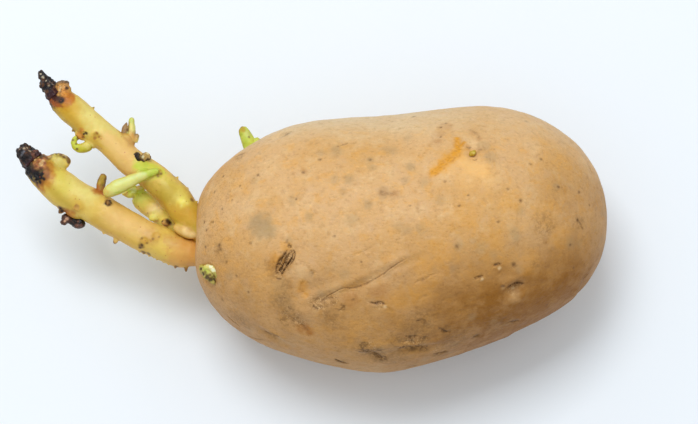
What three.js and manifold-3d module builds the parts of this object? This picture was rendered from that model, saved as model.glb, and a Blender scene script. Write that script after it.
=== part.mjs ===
import * as THREE from 'three';
import { mergeVertices } from 'three/addons/utils/BufferGeometryUtils.js';
import Module from 'manifold-3d';

// Sprouted potato, lying on its side. Millimetres, +Z up.
// +X runs along the tuber, away from the sprouts. The origin is the middle of the small flat
// resting spot under the tuber.

// Tuber: half sizes of the rounded body, and how far it stands off the resting surface.
const SPROUT_END = 54.2;
const FAR_END = 54.0;
const HALF_WIDTH = 33.3;
const RISE_ABOVE = 28.4;
const DROP_BELOW = 26.8;
const RESTING_DEPTH = 0.45;
const SQUARENESS = 2.25;
const SQUARENESS_TAPER = 0.1;
const UNDERSIDE_LEAN = 0.6;

// Longest edge of the skin's facets, away from the eyes and inside them.
const SKIN_EDGE = 5.4;
const EYE_EDGE = 2.5;

// Clear gap between pieces that grow from each other.
const GAP = 0.3;

// Corners nearer to each other than this are one corner.
const MERGE_DISTANCE = 1e-4;

// Sprouts and shoots, as stations [x, y, z, radius] from the base to the end.
const LOWER_SPROUT = [
  [-50.0, -2.4, 25.0, 2.7], [-53.3, -2.1, 25.0, 3.3], [-54.9, -1.7, 25.1, 3.8], [-57.5, -1.3, 25.2, 4.2],
  [-62.7, 0.9, 25.6, 4.3], [-67.9, 3.2, 26.0, 4.2], [-73.7, 6.3, 26.8, 4.3], [-78.4, 9.1, 27.6, 4.5],
  [-83.0, 11.6, 28.4, 4.4], [-88.5, 14.7, 29.2, 4.7], [-92.3, 18.2, 29.9, 4.2], [-94.6, 20.4, 30.3, 3.8],
  [-96.0, 21.8, 30.6, 3.1],
];
const LOWER_TIP = [
  [-96.0, 21.8, 30.6, 2.9], [-96.9, 22.7, 30.8, 2.5], [-97.6, 23.4, 31.0, 2.2], [-98.4, 24.1, 31.1, 1.7],
];
const UPPER_SPROUT = [
  [-50.1, 2.9, 26.4, 3.8], [-55.5, 7.9, 27.6, 4.1], [-59.0, 12.6, 28.4, 4.0], [-63.6, 16.9, 29.2, 3.8],
  [-70.2, 21.4, 30.4, 3.7], [-75.8, 26.7, 31.4, 3.7], [-80.5, 30.4, 32.3, 3.7], [-85.9, 35.1, 33.4, 3.8],
  [-88.0, 36.7, 33.7, 3.5], [-89.3, 37.8, 34.0, 2.9], [-90.3, 38.8, 34.3, 2.1],
];
const UPPER_TIP = [
  [-90.2, 38.7, 34.3, 2.1], [-91.2, 40.0, 34.6, 1.9], [-92.0, 41.3, 34.9, 1.6], [-93.0, 42.8, 35.3, 1.0],
  [-94.0, 44.4, 35.7, 0.5],
];
const MIDDLE_SPROUT = [
  [-50.4, 3.9, 21.2, 2.7], [-55.7, 4.9, 20.9, 2.9], [-59.7, 7.0, 21.3, 3.0], [-64.1, 10.3, 22.3, 2.9],
  [-67.3, 12.5, 23.4, 2.7], [-69.6, 14.2, 24.4, 2.2],
];
const MIDDLE_SCALE = [[-60.4, 7.2, 23.2, 1.2], [-61.4, 6.6, 24.4, 1.0], [-62.4, 6.2, 25.2, 0.5]];
const GREEN_SHOOT = [
  [-62.6, 18.4, 33.0, 0.8], [-64.9, 17.5, 33.5, 1.1], [-67.4, 16.5, 33.8, 1.4], [-70.5, 15.0, 33.8, 1.7],
  [-73.1, 13.9, 33.4, 2.0], [-75.2, 12.9, 33.0, 1.7], [-76.9, 12.1, 32.7, 1.0],
];
const BACK_SHOOT = [
  [-37.9, 22.6, 27.2, 2.1], [-39.5, 26.9, 27.8, 1.9], [-40.7, 29.4, 28.7, 1.5], [-41.6, 31.1, 29.6, 0.9],
];

const CURL = [
  [-84.0, 27.4, 32.5, 0.8], [-84.8, 26.7, 32.4, 0.7], [-84.9, 25.8, 32.3, 0.8], [-84.3, 24.9, 32.2, 1.0],
  [-83.4, 24.6, 32.1, 1.2], [-82.4, 24.7, 32.0, 1.3], [-81.5, 25.1, 32.0, 1.4], [-80.7, 25.9, 32.0, 1.5],
];

const LOWER_SCALE = [
  [-90.6, 22.8, 31.0, 0.5], [-88.7, 22.8, 31.9, 0.5], [-87.1, 22.3, 32.0, 0.5], [-86.1, 21.3, 31.4, 0.5],
  [-86.6, 20.2, 30.8, 0.4],
];
const UPPER_SCALE = [[-89.6, 40.6, 35.9, 0.5], [-87.9, 41.1, 36.4, 0.6], [-85.9, 40.9, 36.0, 0.5]];

const wasm = await Module();
wasm.setup();

function randomSource(seed) {
  let state = seed >>> 0;
  return () => {
    state = (Math.imul(state, 1664525) + 1013904223) >>> 0;
    return state / 4294967296;
  };
}

function smoothStep(t) {
  const s = THREE.MathUtils.clamp(t, 0, 1);
  return s * s * (3 - 2 * s);
}

function bell(...parts) {
  return Math.exp(-parts.reduce((sum, part) => sum + part * part, 0));
}

// Solids

function signedVolume(positions, corners) {
  const a = new THREE.Vector3();
  const b = new THREE.Vector3();
  const c = new THREE.Vector3();
  let volume = 0;
  for (let i = 0; i < corners.length; i += 3) {
    a.fromArray(positions, corners[i] * 3);
    b.fromArray(positions, corners[i + 1] * 3);
    c.fromArray(positions, corners[i + 2] * 3);
    volume += a.dot(b.cross(c)) / 6;
  }
  return volume;
}

function toSolid(geometry) {
  geometry.deleteAttribute('normal');
  geometry.deleteAttribute('uv');
  const merged = mergeVertices(geometry, MERGE_DISTANCE);
  const index = merged.getIndex().array;
  const positions = new Float32Array(merged.getAttribute('position').array);
  const corners = [];
  for (let i = 0; i < index.length; i += 3) {
    const [a, b, c] = [index[i], index[i + 1], index[i + 2]];
    if (a !== b && b !== c && c !== a) corners.push(a, b, c);
  }
  if (signedVolume(positions, corners) < 0) corners.reverse();
  return new wasm.Manifold(new wasm.Mesh({
    numProp: 3,
    vertProperties: positions,
    triVerts: new Uint32Array(corners),
  }));
}

// Cutting can leave crumbs, so the largest body is the one that is kept.
function largestBody(solid) {
  const bodies = solid.decompose();
  return bodies.reduce((best, body) => (body.volume() > best.volume() ? body : best));
}

function fuse(base, pieces) {
  return largestBody(pieces.reduce((whole, piece) => whole.add(piece), base));
}

function carve(base, cutters) {
  return largestBody(cutters.reduce((rest, cutter) => rest.subtract(cutter), base));
}

function toMesh(name, solid, colour, roughness) {
  const shape = solid.getMesh();
  const geometry = new THREE.BufferGeometry();
  geometry.setAttribute('position', new THREE.BufferAttribute(new Float32Array(shape.vertProperties), 3));
  geometry.setIndex(new THREE.BufferAttribute(new Uint32Array(shape.triVerts), 1));
  geometry.computeVertexNormals();
  const material = new THREE.MeshStandardMaterial({ color: colour, roughness, metalness: 0 });
  const mesh = new THREE.Mesh(geometry, material);
  mesh.name = name;
  return mesh;
}

// Tuber

const BODY_HEIGHT = DROP_BELOW - RESTING_DEPTH;

function centreLine(x) {
  return 1.2 - 1.0 * bell((x + 7) / 16) + 5.5 * smoothStep((x + 8) / 46);
}

function halfWidthAt(x) {
  return HALF_WIDTH * (1 - 0.035 * smoothStep((-18 - x) / 30));
}

// Smooth body before eyes and lumps, along a direction from its middle.
function bodyPoint(direction) {
  const { x, y, z } = direction;
  const power = SQUARENESS - SQUARENESS_TAPER * x;
  const reach = (Math.abs(x) ** power + Math.abs(y) ** power + Math.abs(z) ** power) ** (1 / power);
  const along = ((x < 0 ? SPROUT_END : FAR_END) * x) / reach;
  const below = Math.max(0, -z / reach);
  return new THREE.Vector3(
    along,
    centreLine(along) + (halfWidthAt(along) * y) / reach - UNDERSIDE_LEAN * below,
    BODY_HEIGHT + ((z > 0 ? RISE_ABOVE : DROP_BELOW) * z) / reach,
  );
}

function bodyNormal(direction) {
  const step = 1e-3;
  const side = new THREE.Vector3(-direction.y, direction.x, 0);
  if (side.lengthSq() < 1e-6) side.set(1, 0, 0);
  side.normalize();
  const rise = new THREE.Vector3().crossVectors(direction, side);
  const here = bodyPoint(direction);
  const first = bodyPoint(direction.clone().addScaledVector(side, step).normalize()).sub(here);
  const second = bodyPoint(direction.clone().addScaledVector(rise, step).normalize()).sub(here);
  return first.cross(second).normalize();
}

// Direction from the middle of the body whose surface point is nearest to a given point.
function directionTo(x, y, z) {
  const target = new THREE.Vector3(x, y, z);
  const guess = new THREE.Vector3(
    x / FAR_END,
    (y - centreLine(x)) / HALF_WIDTH,
    (z - BODY_HEIGHT) / RISE_ABOVE,
  ).normalize();
  for (let round = 0; round < 12; round += 1) {
    const miss = target.clone().sub(bodyPoint(guess));
    guess.add(miss.multiplyScalar(0.012)).normalize();
  }
  return guess;
}

// An eye or scar is a dent, long across and narrow along its turned axis, with a raised brow.
function hollow([x, y, z], turn, long, wide, depth, brow) {
  const direction = directionTo(x, y, z);
  const at = bodyPoint(direction);
  const out = bodyNormal(direction);
  const lean = THREE.MathUtils.degToRad(turn);
  const level = Math.abs(out.z) > 0.35;
  const flat = level ? [Math.cos(lean), Math.sin(lean), 0] : [Math.cos(lean), 0, Math.sin(lean)];
  const axis = new THREE.Vector3(...flat);
  axis.addScaledVector(out, -axis.dot(out)).normalize();
  const across = new THREE.Vector3().crossVectors(out, axis);
  return { at, out, axis, across, long, wide, depth, brow, reach: 2.4 * long + 2 };
}

const eyes = [
  // Scarred groove on the near left, with the curved fold beside it.
  hollow([-29.3, -9.5, 50.8], 62, 4.2, 1.5, 1.5, 0.5),
  hollow([-23.1, -17.0, 50.1], 20, 3.4, 2.4, 0.6, 0.3),
  // Eye with the tiny bud, and its brow.
  hollow([17.5, 17.8, 51.3], 105, 3.6, 2.2, 0.9, -0.5),
  // Dimple on the near right, and the groove on the right end.
  hollow([28.2, -15.4, 44.8], 15, 2.4, 1.7, 1.3, 0.5),
  hollow([46.7, -11.3, 28.8], 65, 4.0, 1.5, 0.9, 0.4),
  // Creases low on the near side.
  hollow([-7.6, -31.6, 36.6], 8, 4.0, 2.4, 1.0, 0.4),
  hollow([3.4, -30.2, 38.7], -8, 4.6, 1.5, 1.0, 0.5),
  hollow([-33.4, -25.9, 34.6], -18, 3.4, 1.5, 0.8, 0.3),
  hollow([-25.9, -24.0, 42.5], -35, 4.2, 2.4, 0.7, 0.3),
  // Long wrinkle across the near side.
  hollow([-19.8, -19.0, 49.8], 30, 4.0, 1.1, 0.6, 0.4),
  hollow([-11.0, -16.0, 52.0], 27, 5.0, 1.1, 0.6, 0.4),
  hollow([-1.0, -11.4, 53.6], 22, 5.0, 1.2, 0.4, 0.3),
  // Short groove on the far left shoulder, and the seats of the far shoot and the end bud.
  hollow([-30.3, 25.2, 41.1], 20, 3.0, 1.2, 0.6, 0.3),
  hollow([-38.4, 23.6, 27.2], 10, 3.6, 2.6, 1.0, 0.3),
  hollow([-48.9, -9.8, 37.2], 90, 3.0, 2.4, 0.9, 0.2),
];

// The crown of the tuber sinks in around the sprouts.
eyes.push(hollow([-54.0, 2.6, 25.6], 90, 8.5, 7.0, 1.7, 0));

// Eyes out of the camera's sight wind round the tuber by the golden angle, closer at the crown.
const GOLDEN_TURN = 2.39996;
for (let i = 0; i < 7; i += 1) {
  const roll = 3.7 + i * GOLDEN_TURN;
  const along = -40 + i * 13.2 + 1.5 * i * (i > 3 ? 0.6 : 0);
  const ring = Math.sqrt(Math.max(0.05, 1 - (along / 56) ** 2));
  const y = centreLine(along) + 33 * ring * Math.cos(roll);
  const z = BODY_HEIGHT + 27 * ring * Math.sin(roll);
  const sinks = z < BODY_HEIGHT + 6 && z > 2.5;
  if (sinks && Math.hypot(along, y) > 20) eyes.push(hollow([along, y, z], 80, 3.8, 1.8, 1.1, 0.6));
}

// Broad lumps of the body, then the eyes.
function relief(point) {
  const { x, y, z } = point;
  let offset = 0.35 * Math.sin(0.071 * x + 0.9) * Math.sin(0.093 * y - 0.4 + 0.05 * z);
  offset += 0.22 * Math.sin(0.13 * x - 0.11 * z + 2.1) * Math.cos(0.12 * y + 0.08 * x);
  offset += 0.7 * bell((x - 24) / 15, (y - 12) / 12, (z - 50) / 16);
  offset -= 0.5 * bell((x + 20) / 11, (y + 19) / 10, (z - 48) / 14);
  offset -= 0.7 * bell((x + 26) / 14, (y + 30) / 10, (z - 26) / 16);
  offset += 0.7 * bell((x - 44) / 12, (y - 25) / 12, (z - 26) / 16);
  for (const eye of eyes) {
    const away = point.clone().sub(eye.at);
    if (away.length() > eye.reach) continue;
    const a = away.dot(eye.axis) / eye.long;
    const b = away.dot(eye.across) / eye.wide;
    const c = away.dot(eye.out) / eye.long;
    const side = Math.sign(eye.brow) * 1.7;
    offset -= eye.depth * bell(a, b, c);
    offset += Math.abs(eye.brow) * bell(0.8 * a, (b - side) / 0.8, c);
  }
  return offset;
}

function skinPoint(direction, grow) {
  const base = bodyPoint(direction);
  const settle = smoothStep((base.z - 0.4) / 4);
  const point = base.clone().addScaledVector(bodyNormal(direction), settle * relief(base) + grow);
  if (point.z < 0 && grow === 0) point.z = 0;
  return point;
}

function edgeLimit(point) {
  let limit = SKIN_EDGE;
  for (const eye of eyes) {
    const near = point.distanceTo(eye.at) / eye.long;
    const fine = eye.depth > 1.6 ? 3.4 : EYE_EDGE;
    limit = Math.min(limit, THREE.MathUtils.lerp(fine, SKIN_EDGE, smoothStep((near - 1.1) / 1.0)));
  }
  return limit;
}

// Directions of an even sphere, split further wherever the skin's edges are too long.
function skinNet() {
  const sphere = new THREE.IcosahedronGeometry(1, 7);
  sphere.deleteAttribute('normal');
  sphere.deleteAttribute('uv');
  const merged = mergeVertices(sphere, MERGE_DISTANCE);
  const source = merged.getAttribute('position');
  const directions = [];
  for (let i = 0; i < source.count; i += 1) {
    directions.push(new THREE.Vector3().fromBufferAttribute(source, i).normalize());
  }
  const points = directions.map((direction) => skinPoint(direction, 0));
  let faces = [];
  const index = merged.getIndex().array;
  for (let i = 0; i < index.length; i += 3) faces.push([index[i], index[i + 1], index[i + 2]]);
  for (let round = 0; round < 5; round += 1) {
    const middles = new Map();
    const middleOf = (a, b) => {
      const key = a < b ? `${a} ${b}` : `${b} ${a}`;
      if (middles.has(key)) return middles.get(key);
      let middle = -1;
      const halfway = points[a].clone().add(points[b]).multiplyScalar(0.5);
      if (points[a].distanceTo(points[b]) > edgeLimit(halfway)) {
        middle = directions.length;
        directions.push(directions[a].clone().add(directions[b]).normalize());
        points.push(skinPoint(directions[middle], 0));
      }
      middles.set(key, middle);
      return middle;
    };
    const next = [];
    for (const [a, b, c] of faces) {
      const cut = [middleOf(a, b), middleOf(b, c), middleOf(c, a)];
      const count = cut.filter((middle) => middle >= 0).length;
      const [ab, bc, ca] = cut;
      if (count === 0) {
        next.push([a, b, c]);
      } else if (count === 3) {
        next.push([a, ab, ca], [ab, b, bc], [ca, bc, c], [ab, bc, ca]);
      } else if (count === 1) {
        if (ab >= 0) next.push([a, ab, c], [ab, b, c]);
        if (bc >= 0) next.push([b, bc, a], [bc, c, a]);
        if (ca >= 0) next.push([c, ca, b], [ca, a, b]);
      } else {
        if (ab < 0) next.push([c, ca, bc], [ca, a, bc], [a, b, bc]);
        if (bc < 0) next.push([a, ab, ca], [ab, b, ca], [b, c, ca]);
        if (ca < 0) next.push([b, bc, ab], [bc, c, ab], [c, a, ab]);
      }
    }
    faces = next;
  }
  return { directions, faces };
}

const net = skinNet();

function tuberSolid(grow) {
  const geometry = new THREE.BufferGeometry();
  const points = net.directions.map((direction) => skinPoint(direction, grow));
  geometry.setAttribute('position', new THREE.Float32BufferAttribute(points.flatMap((p) => p.toArray()), 3));
  geometry.setIndex(net.faces.flat());
  return toSolid(geometry);
}

// Stems: a lathed tube bent along a curve through its stations.
// Round the stem, 0 degrees is its left side seen from above and base to end, and 90 is its top.

function stemFrames(stations, fractions) {
  const curve = new THREE.CatmullRomCurve3(
    stations.map(([x, y, z]) => new THREE.Vector3(x, y, z)),
    false,
    'centripetal',
  );
  const length = curve.getLength();
  const knots = [0];
  for (let i = 1; i < stations.length; i += 1) {
    const [a, b] = [stations[i - 1], stations[i]];
    knots.push(knots[i - 1] + Math.hypot(b[0] - a[0], b[1] - a[1], b[2] - a[2]));
  }
  const total = knots[knots.length - 1];
  return fractions.map((fraction) => {
    const at = curve.getPointAt(fraction);
    const along = curve.getTangentAt(fraction);
    const upright = Math.abs(along.z) > 0.9 ? new THREE.Vector3(1, 0, 0) : new THREE.Vector3(0, 0, 1);
    const side = new THREE.Vector3().crossVectors(upright, along).negate().normalize();
    const lift = new THREE.Vector3().crossVectors(side, along).normalize();
    let span = 1;
    while (span < knots.length - 1 && knots[span] < fraction * total) span += 1;
    const part = (fraction * total - knots[span - 1]) / (knots[span] - knots[span - 1]);
    const radius = THREE.MathUtils.lerp(stations[span - 1][3], stations[span][3], smoothStep(part));
    return { at, along, side, lift, radius, length };
  });
}

function stem(stations, options = {}) {
  const { sides = 12, step = 3.0, grow = 0, flat = 1, startRound = 0, endRound = 0.6, ripple = 0 } = options;
  const [{ length }] = stemFrames(stations, [0]);
  const first = stations[0][3];
  const last = stations[stations.length - 1][3];
  const start = (first * startRound) / length;
  const end = (last * endRound) / length;
  const count = Math.max(2, Math.round((length * (1 - start - end)) / step));
  const rings = [];
  if (start > 0) rings.push([start * 0.1, 0.45], [start * 0.5, 0.86]);
  for (let i = 0; i <= count; i += 1) rings.push([start + (i * (1 - start - end)) / count, 1]);
  if (end > 0) rings.push([1 - end * 0.5, 0.86], [1 - end * 0.1, 0.45]);
  const frames = stemFrames(stations, [0, ...rings.map(([fraction]) => fraction), 1]);
  const shares = [0, ...rings.map(([, share]) => share), 0];
  const profile = shares.map((share, i) => new THREE.Vector2(share === 0 ? 0 : 1, i));
  const geometry = new THREE.LatheGeometry(profile, sides);
  const position = geometry.getAttribute('position');
  for (let i = 0; i < position.count; i += 1) {
    const ring = Math.round(position.getY(i));
    const frame = frames[ring];
    const turn = Math.atan2(position.getX(i), position.getZ(i));
    const onAxis = shares[ring] === 0;
    const wave = 1 + ripple * (Math.sin(3 * turn + ring * 1.9) + 0.7 * Math.sin(2 * turn - ring * 2.7 + 1));
    const radius = onAxis ? 0 : frame.radius * shares[ring] * wave + grow;
    const push = onAxis ? grow * (ring === 0 ? -1 : 1) : 0;
    const point = frame.at.clone();
    point.addScaledVector(frame.side, Math.cos(turn) * radius);
    point.addScaledVector(frame.lift, Math.sin(turn) * radius * flat);
    point.addScaledVector(frame.along, push);
    position.setXYZ(i, point.x, point.y, point.z);
  }
  return toSolid(geometry);
}

// Point on a stem's surface at a fraction of its length and an angle round it, and the way out.
function onStem(stations, fraction, angle) {
  const [frame] = stemFrames(stations, [fraction]);
  const turn = THREE.MathUtils.degToRad(angle);
  const out = frame.side.clone().multiplyScalar(Math.cos(turn)).addScaledVector(frame.lift, Math.sin(turn));
  return { at: frame.at.clone().addScaledVector(out, frame.radius), out, along: frame.along };
}

// Small conical growth that leans along its stem.
function nub(seat, height, radius, grow = 0, lean = 0.3, sides = 6) {
  const way = seat.out.clone().addScaledVector(seat.along, lean).normalize();
  const station = (distance, size) => [
    seat.at.x + way.x * distance,
    seat.at.y + way.y * distance,
    seat.at.z + way.z * distance,
    size,
  ];
  return stem(
    [station(-0.8, radius), station(0.35 * height, 0.8 * radius), station(height, 0.4 * radius)],
    { sides, step: height, endRound: 0.8, grow },
  );
}

// Low round scar left by a fallen scale.
function scar(seat, radius, grow = 0) {
  const pad = new THREE.IcosahedronGeometry(1, 1);
  pad.scale(radius + grow, radius + grow, 0.45 + grow);
  pad.applyQuaternion(new THREE.Quaternion().setFromUnitVectors(new THREE.Vector3(0, 0, 1), seat.out));
  pad.translate(seat.at.x, seat.at.y, seat.at.z);
  return toSolid(pad);
}

// Rounded lump with three half sizes, turned about the vertical.
function lump([x, y, z], [a, b, c], { turn = 0, detail = 2, grow = 0 } = {}) {
  const ball = new THREE.IcosahedronGeometry(1, detail);
  ball.scale(a + grow, b + grow, c + grow);
  ball.rotateZ(THREE.MathUtils.degToRad(turn));
  ball.translate(x, y, z);
  return toSolid(ball);
}

// Fine teeth along a stem, between two fractions of its length and two angles round it.
function teeth(stations, count, seed, [from, to], [low, high], grow = 0) {
  const random = randomSource(seed);
  const set = [];
  for (let i = 0; i < count; i += 1) {
    const fraction = from + (to - from) * ((i + 0.2 + 0.6 * random()) / count);
    const seat = onStem(stations, fraction, low + (high - low) * random());
    set.push(nub(seat, 0.7 + 0.7 * random(), 0.45 + 0.25 * random(), grow, 0.3, 5));
  }
  return set;
}

// Each piece that others grow from is also made with a clearance, which is cut out of them.

function lowerSproutSolid(grow) {
  const on = (fraction, angle) => onStem(LOWER_SPROUT, fraction, angle);
  return fuse(stem(LOWER_SPROUT, { ripple: 0.018, endRound: 0, grow }), [
    // Shoulder near the end, on the upper side, with a thin scale round its edge.
    lump([-89.3, 21.3, 30.5], [3.3, 2.0, 1.9], { turn: -15, grow }),
    stem(LOWER_SCALE, { flat: 1.7, sides: 8, step: 1.3, grow }),
    // Swelling on the lower side that carries the withered bud.
    lump([-84.6, 9.3, 27.8], [3.4, 2.4, 2.3], { turn: -25, grow }),
    lump([-88.4, 10.0, 27.5], [1.3, 0.9, 1.0], { turn: -30, grow, detail: 1 }),
    // Rosette scar on top, next to the withered end, and the dark spot beside it.
    scar(on(0.933, 82), 1.5, grow),
    nub(on(0.914, 135), 0.9, 0.9, grow, -0.2),
    // Nub on the lower side, opposite the scale, and the soft scar inside of it.
    nub(on(0.741, 178), 1.5, 1.1, grow),
    scar(on(0.68, 123), 0.9, grow),
    // Ringed hole beside the peg, and the round worn patches nearer the base.
    scar(on(0.562, 54), 0.9, grow),
    scar(on(0.316, 107), 1.0, grow),
    scar(on(0.276, 77), 1.1, grow),
    nub(on(0.508, 180), 1.0, 0.6, grow, -0.3),
    nub(on(0.442, 182), 1.8, 0.8, grow, -0.2),
    nub(on(0.141, 182), 0.9, 0.6, grow, -0.1),
    nub(on(0.097, 184), 1.5, 0.7, grow, -0.1),
    ...teeth(LOWER_SPROUT, 4, 11, [0.18, 0.36], [168, 192], grow),
    ...teeth(LOWER_SPROUT, 4, 5, [0.2, 0.85], [215, 330], grow),
  ]);
}

function upperSproutSolid(grow) {
  const on = (fraction, angle) => onStem(UPPER_SPROUT, fraction, angle);
  return fuse(stem(UPPER_SPROUT, { ripple: 0.018, endRound: 0, grow }), [
    // Torn flap next to the withered end, with a thin scale along its edge.
    lump([-87.8, 39.7, 35.4], [2.3, 1.6, 1.2], { turn: -8, grow }),
    stem(UPPER_SCALE, { flat: 1.3, sides: 8, step: 1.3, grow }),
    // Swellings where the green shoot leaves, under the side bud, and at the curl.
    lump([-63.7, 17.4, 31.0], [2.4, 1.8, 1.9], { turn: 40, grow }),
    lump([-71.1, 27.0, 31.0], [2.2, 1.6, 1.8], { turn: -38, grow }),
    lump([-83.3, 27.9, 32.3], [1.7, 1.0, 1.3], { turn: -40, grow }),
    lump([-80.5, 26.1, 31.8], [1.8, 1.3, 1.5], { turn: -40, grow }),
    scar(on(0.711, 116), 1.1, grow),
    scar(on(0.359, 60), 1.0, grow),
    nub(on(0.809, 180), 1.1, 0.6, grow, 0.2),
    nub(on(0.814, 2), 1.0, 0.5, grow, -0.2),
    nub(on(0.295, 4), 1.0, 0.6, grow, -0.2),
    nub(on(0.233, 4), 0.8, 0.5, grow, -0.2),
    nub(on(0.157, 20), 0.9, 0.5, grow, -0.2),
    ...teeth(UPPER_SPROUT, 4, 23, [0.15, 0.8], [230, 330], grow),
  ]);
}

function middleSproutSolid() {
  return fuse(stem(MIDDLE_SPROUT, { sides: 10, ripple: 0.02 }), [
    // Leafy end in three small lobes.
    lump([-70.6, 15.2, 26.0], [1.7, 1.1, 1.2], { turn: 30, detail: 1 }),
    lump([-71.4, 13.7, 25.3], [1.5, 0.9, 1.0], { turn: -20, detail: 1 }),
    lump([-68.2, 15.4, 25.9], [1.9, 0.9, 1.1], { turn: 20, detail: 1 }),
    // Short bud and pointed scale where it passes the lower sprout.
    lump([-64.3, 7.9, 24.4], [1.7, 1.3, 1.2], { turn: 12, detail: 1 }),
    stem(MIDDLE_SCALE, { sides: 7, step: 1.4, flat: 0.8 }),
    // Cream bulge at the base, between the neighbours.
    lump([-56.2, 4.6, 23.4], [3.0, 1.4, 1.5], { turn: 14 }),
  ]);
}

function lowerTipSolid() {
  return fuse(stem(LOWER_TIP, { sides: 11, step: 1.0, ripple: 0.05, endRound: 0.7 }), [
    lump([-98.0, 23.5, 31.5], [1.9, 1.8, 1.8], { turn: 20 }),
    lump([-97.5, 25.0, 31.3], [1.4, 0.9, 1.1], { detail: 1 }),
  ]);
}

function upperTipSolid() {
  return fuse(stem(UPPER_TIP, { sides: 11, step: 1.1, ripple: 0.05, endRound: 0.8 }), [
    lump([-91.0, 41.3, 35.2], [1.2, 0.8, 0.9], { turn: 50, detail: 1 }),
    lump([-93.0, 41.2, 34.9], [0.9, 0.7, 0.8], { turn: 20, detail: 1 }),
  ]);
}

function lowerWitheredBudSolid() {
  return fuse(lump([-86.8, 7.1, 26.4], [1.7, 1.2, 1.4], { turn: -25 }), [
    lump([-84.1, 5.9, 26.2], [2.2, 1.4, 1.5], { turn: -12 }),
    lump([-87.6, 6.2, 26.4], [1.1, 0.8, 1.0], { detail: 1 }),
  ]);
}

function lowerPegSolid() {
  return stem([[-78.1, 12.0, 28.4, 1.35], [-78.0, 15.4, 29.0, 1.15], [-77.1, 18.3, 29.3, 0.8]], {
    sides: 9, step: 1.4, ripple: 0.03, endRound: 0.9,
  });
}

function upperWitheredBudSolid() {
  return fuse(lump([-68.3, 22.0, 33.2], [1.4, 1.1, 1.1], { turn: 20 }), [
    lump([-67.6, 20.9, 33.7], [1.1, 0.9, 1.0], { turn: -30, detail: 1 }),
    lump([-66.1, 21.8, 33.1], [1.6, 0.9, 1.1], { turn: 20, detail: 1 }),
  ]);
}

function upperSideBudSolid() {
  const peg = [
    [-70.4, 26.3, 31.0, 1.3], [-70.0, 29.2, 31.2, 1.1], [-70.1, 31.6, 31.4, 0.9], [-70.2, 33.2, 31.5, 0.6],
  ];
  const leftScale = [[-71.9, 28.2, 31.0, 1.3], [-71.9, 30.0, 31.1, 0.9], [-71.4, 31.7, 31.2, 0.4]];
  const rightScale = [[-69.4, 26.6, 31.0, 1.1], [-68.8, 27.9, 31.1, 0.9], [-68.5, 28.8, 31.2, 0.5]];
  return fuse(stem(peg, { sides: 8, step: 1.6, endRound: 0.9 }), [
    stem(leftScale, { sides: 7, step: 1.6, flat: 0.7 }),
    stem(rightScale, { sides: 7, step: 1.6, flat: 0.7 }),
  ]);
}

// The curl is a short arc of a small ring, with its ends at the sprout.
function upperCurlSolid() {
  return stem(CURL, { sides: 9, step: 0.9, ripple: 0.03 });
}

function greenShootSolid() {
  return fuse(stem(GREEN_SHOOT, { sides: 11, step: 1.7, startRound: 0.4, endRound: 0.9 }), [
    lump([-66.6, 17.9, 32.9], [1.9, 1.1, 1.0], { turn: 10, detail: 1 }),
  ]);
}

function backShootSolid() {
  return fuse(stem(BACK_SHOOT, { sides: 11, step: 1.4, startRound: 0.4, endRound: 0.9 }), [
    stem([[-38.1, 23.0, 27.4, 1.6], [-37.6, 27.0, 28.0, 1.2], [-37.4, 28.4, 28.6, 0.7]], {
      sides: 8, step: 1.4,
    }),
  ]);
}

function endBudSolid() {
  return fuse(lump([-48.5, -9.5, 37.4], [2.5, 1.9, 2.0], { turn: -25 }), [
    lump([-47.8, -11.2, 36.8], [2.4, 1.3, 1.6], { turn: -35, detail: 1 }),
    lump([-50.5, -8.6, 36.5], [1.0, 1.6, 1.4], { turn: 30, detail: 1 }),
    lump([-47.9, -9.1, 38.8], [1.7, 1.0, 0.9], { turn: -35, detail: 1 }),
  ]);
}

function eyeBudSolid() {
  return fuse(lump([17.5, 17.9, 52.0], [1.4, 0.8, 1.0], { turn: 115, detail: 1 }), [
    lump([17.1, 19.0, 52.1], [0.7, 0.7, 0.7], { detail: 1 }),
  ]);
}

const clearOfTuber = tuberSolid(GAP);
const clearOfLower = lowerSproutSolid(GAP);
const clearOfUpper = upperSproutSolid(GAP);
const lower = carve(lowerSproutSolid(0), [clearOfTuber]);
const upper = carve(upperSproutSolid(0), [clearOfTuber, clearOfLower]);
const middle = carve(middleSproutSolid(), [clearOfTuber, clearOfLower, clearOfUpper]);
const potato = new THREE.Group();
potato.add(
  toMesh('tuber', tuberSolid(0), 0xdcb282, 0.62),
  toMesh('lower_sprout', lower, 0xdfbd72, 0.45),
  toMesh('upper_sprout', upper, 0xdcc070, 0.45),
  toMesh('middle_sprout', middle, 0xd2c878, 0.45),
  toMesh('lower_sprout_tip', carve(lowerTipSolid(), [clearOfLower]), 0x231c1c, 0.5),
  toMesh('upper_sprout_tip', carve(upperTipSolid(), [clearOfUpper]), 0x231c1c, 0.5),
  toMesh('lower_sprout_withered_bud', carve(lowerWitheredBudSolid(), [clearOfLower]), 0x33231c, 0.45),
  toMesh('upper_sprout_withered_bud', carve(upperWitheredBudSolid(), [clearOfUpper]), 0x4a3426, 0.5),
  toMesh('lower_sprout_peg', carve(lowerPegSolid(), [clearOfLower]), 0x93804a, 0.6),
  toMesh('upper_sprout_side_bud', carve(upperSideBudSolid(), [clearOfUpper]), 0xd6d296, 0.5),
  toMesh('upper_sprout_curl', carve(upperCurlSolid(), [clearOfUpper]), 0xa9b83a, 0.45),
  toMesh('green_shoot', carve(greenShootSolid(), [clearOfLower, clearOfUpper]), 0xcfdc8e, 0.42),
  toMesh('back_shoot', carve(backShootSolid(), [clearOfTuber]), 0x9cb440, 0.45),
  toMesh('end_bud', carve(endBudSolid(), [clearOfTuber, clearOfLower]), 0xcfd09a, 0.5),
  toMesh('eye_bud', carve(eyeBudSolid(), [clearOfTuber]), 0xb9c05a, 0.5),
);

export default potato;
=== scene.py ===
import math

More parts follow.
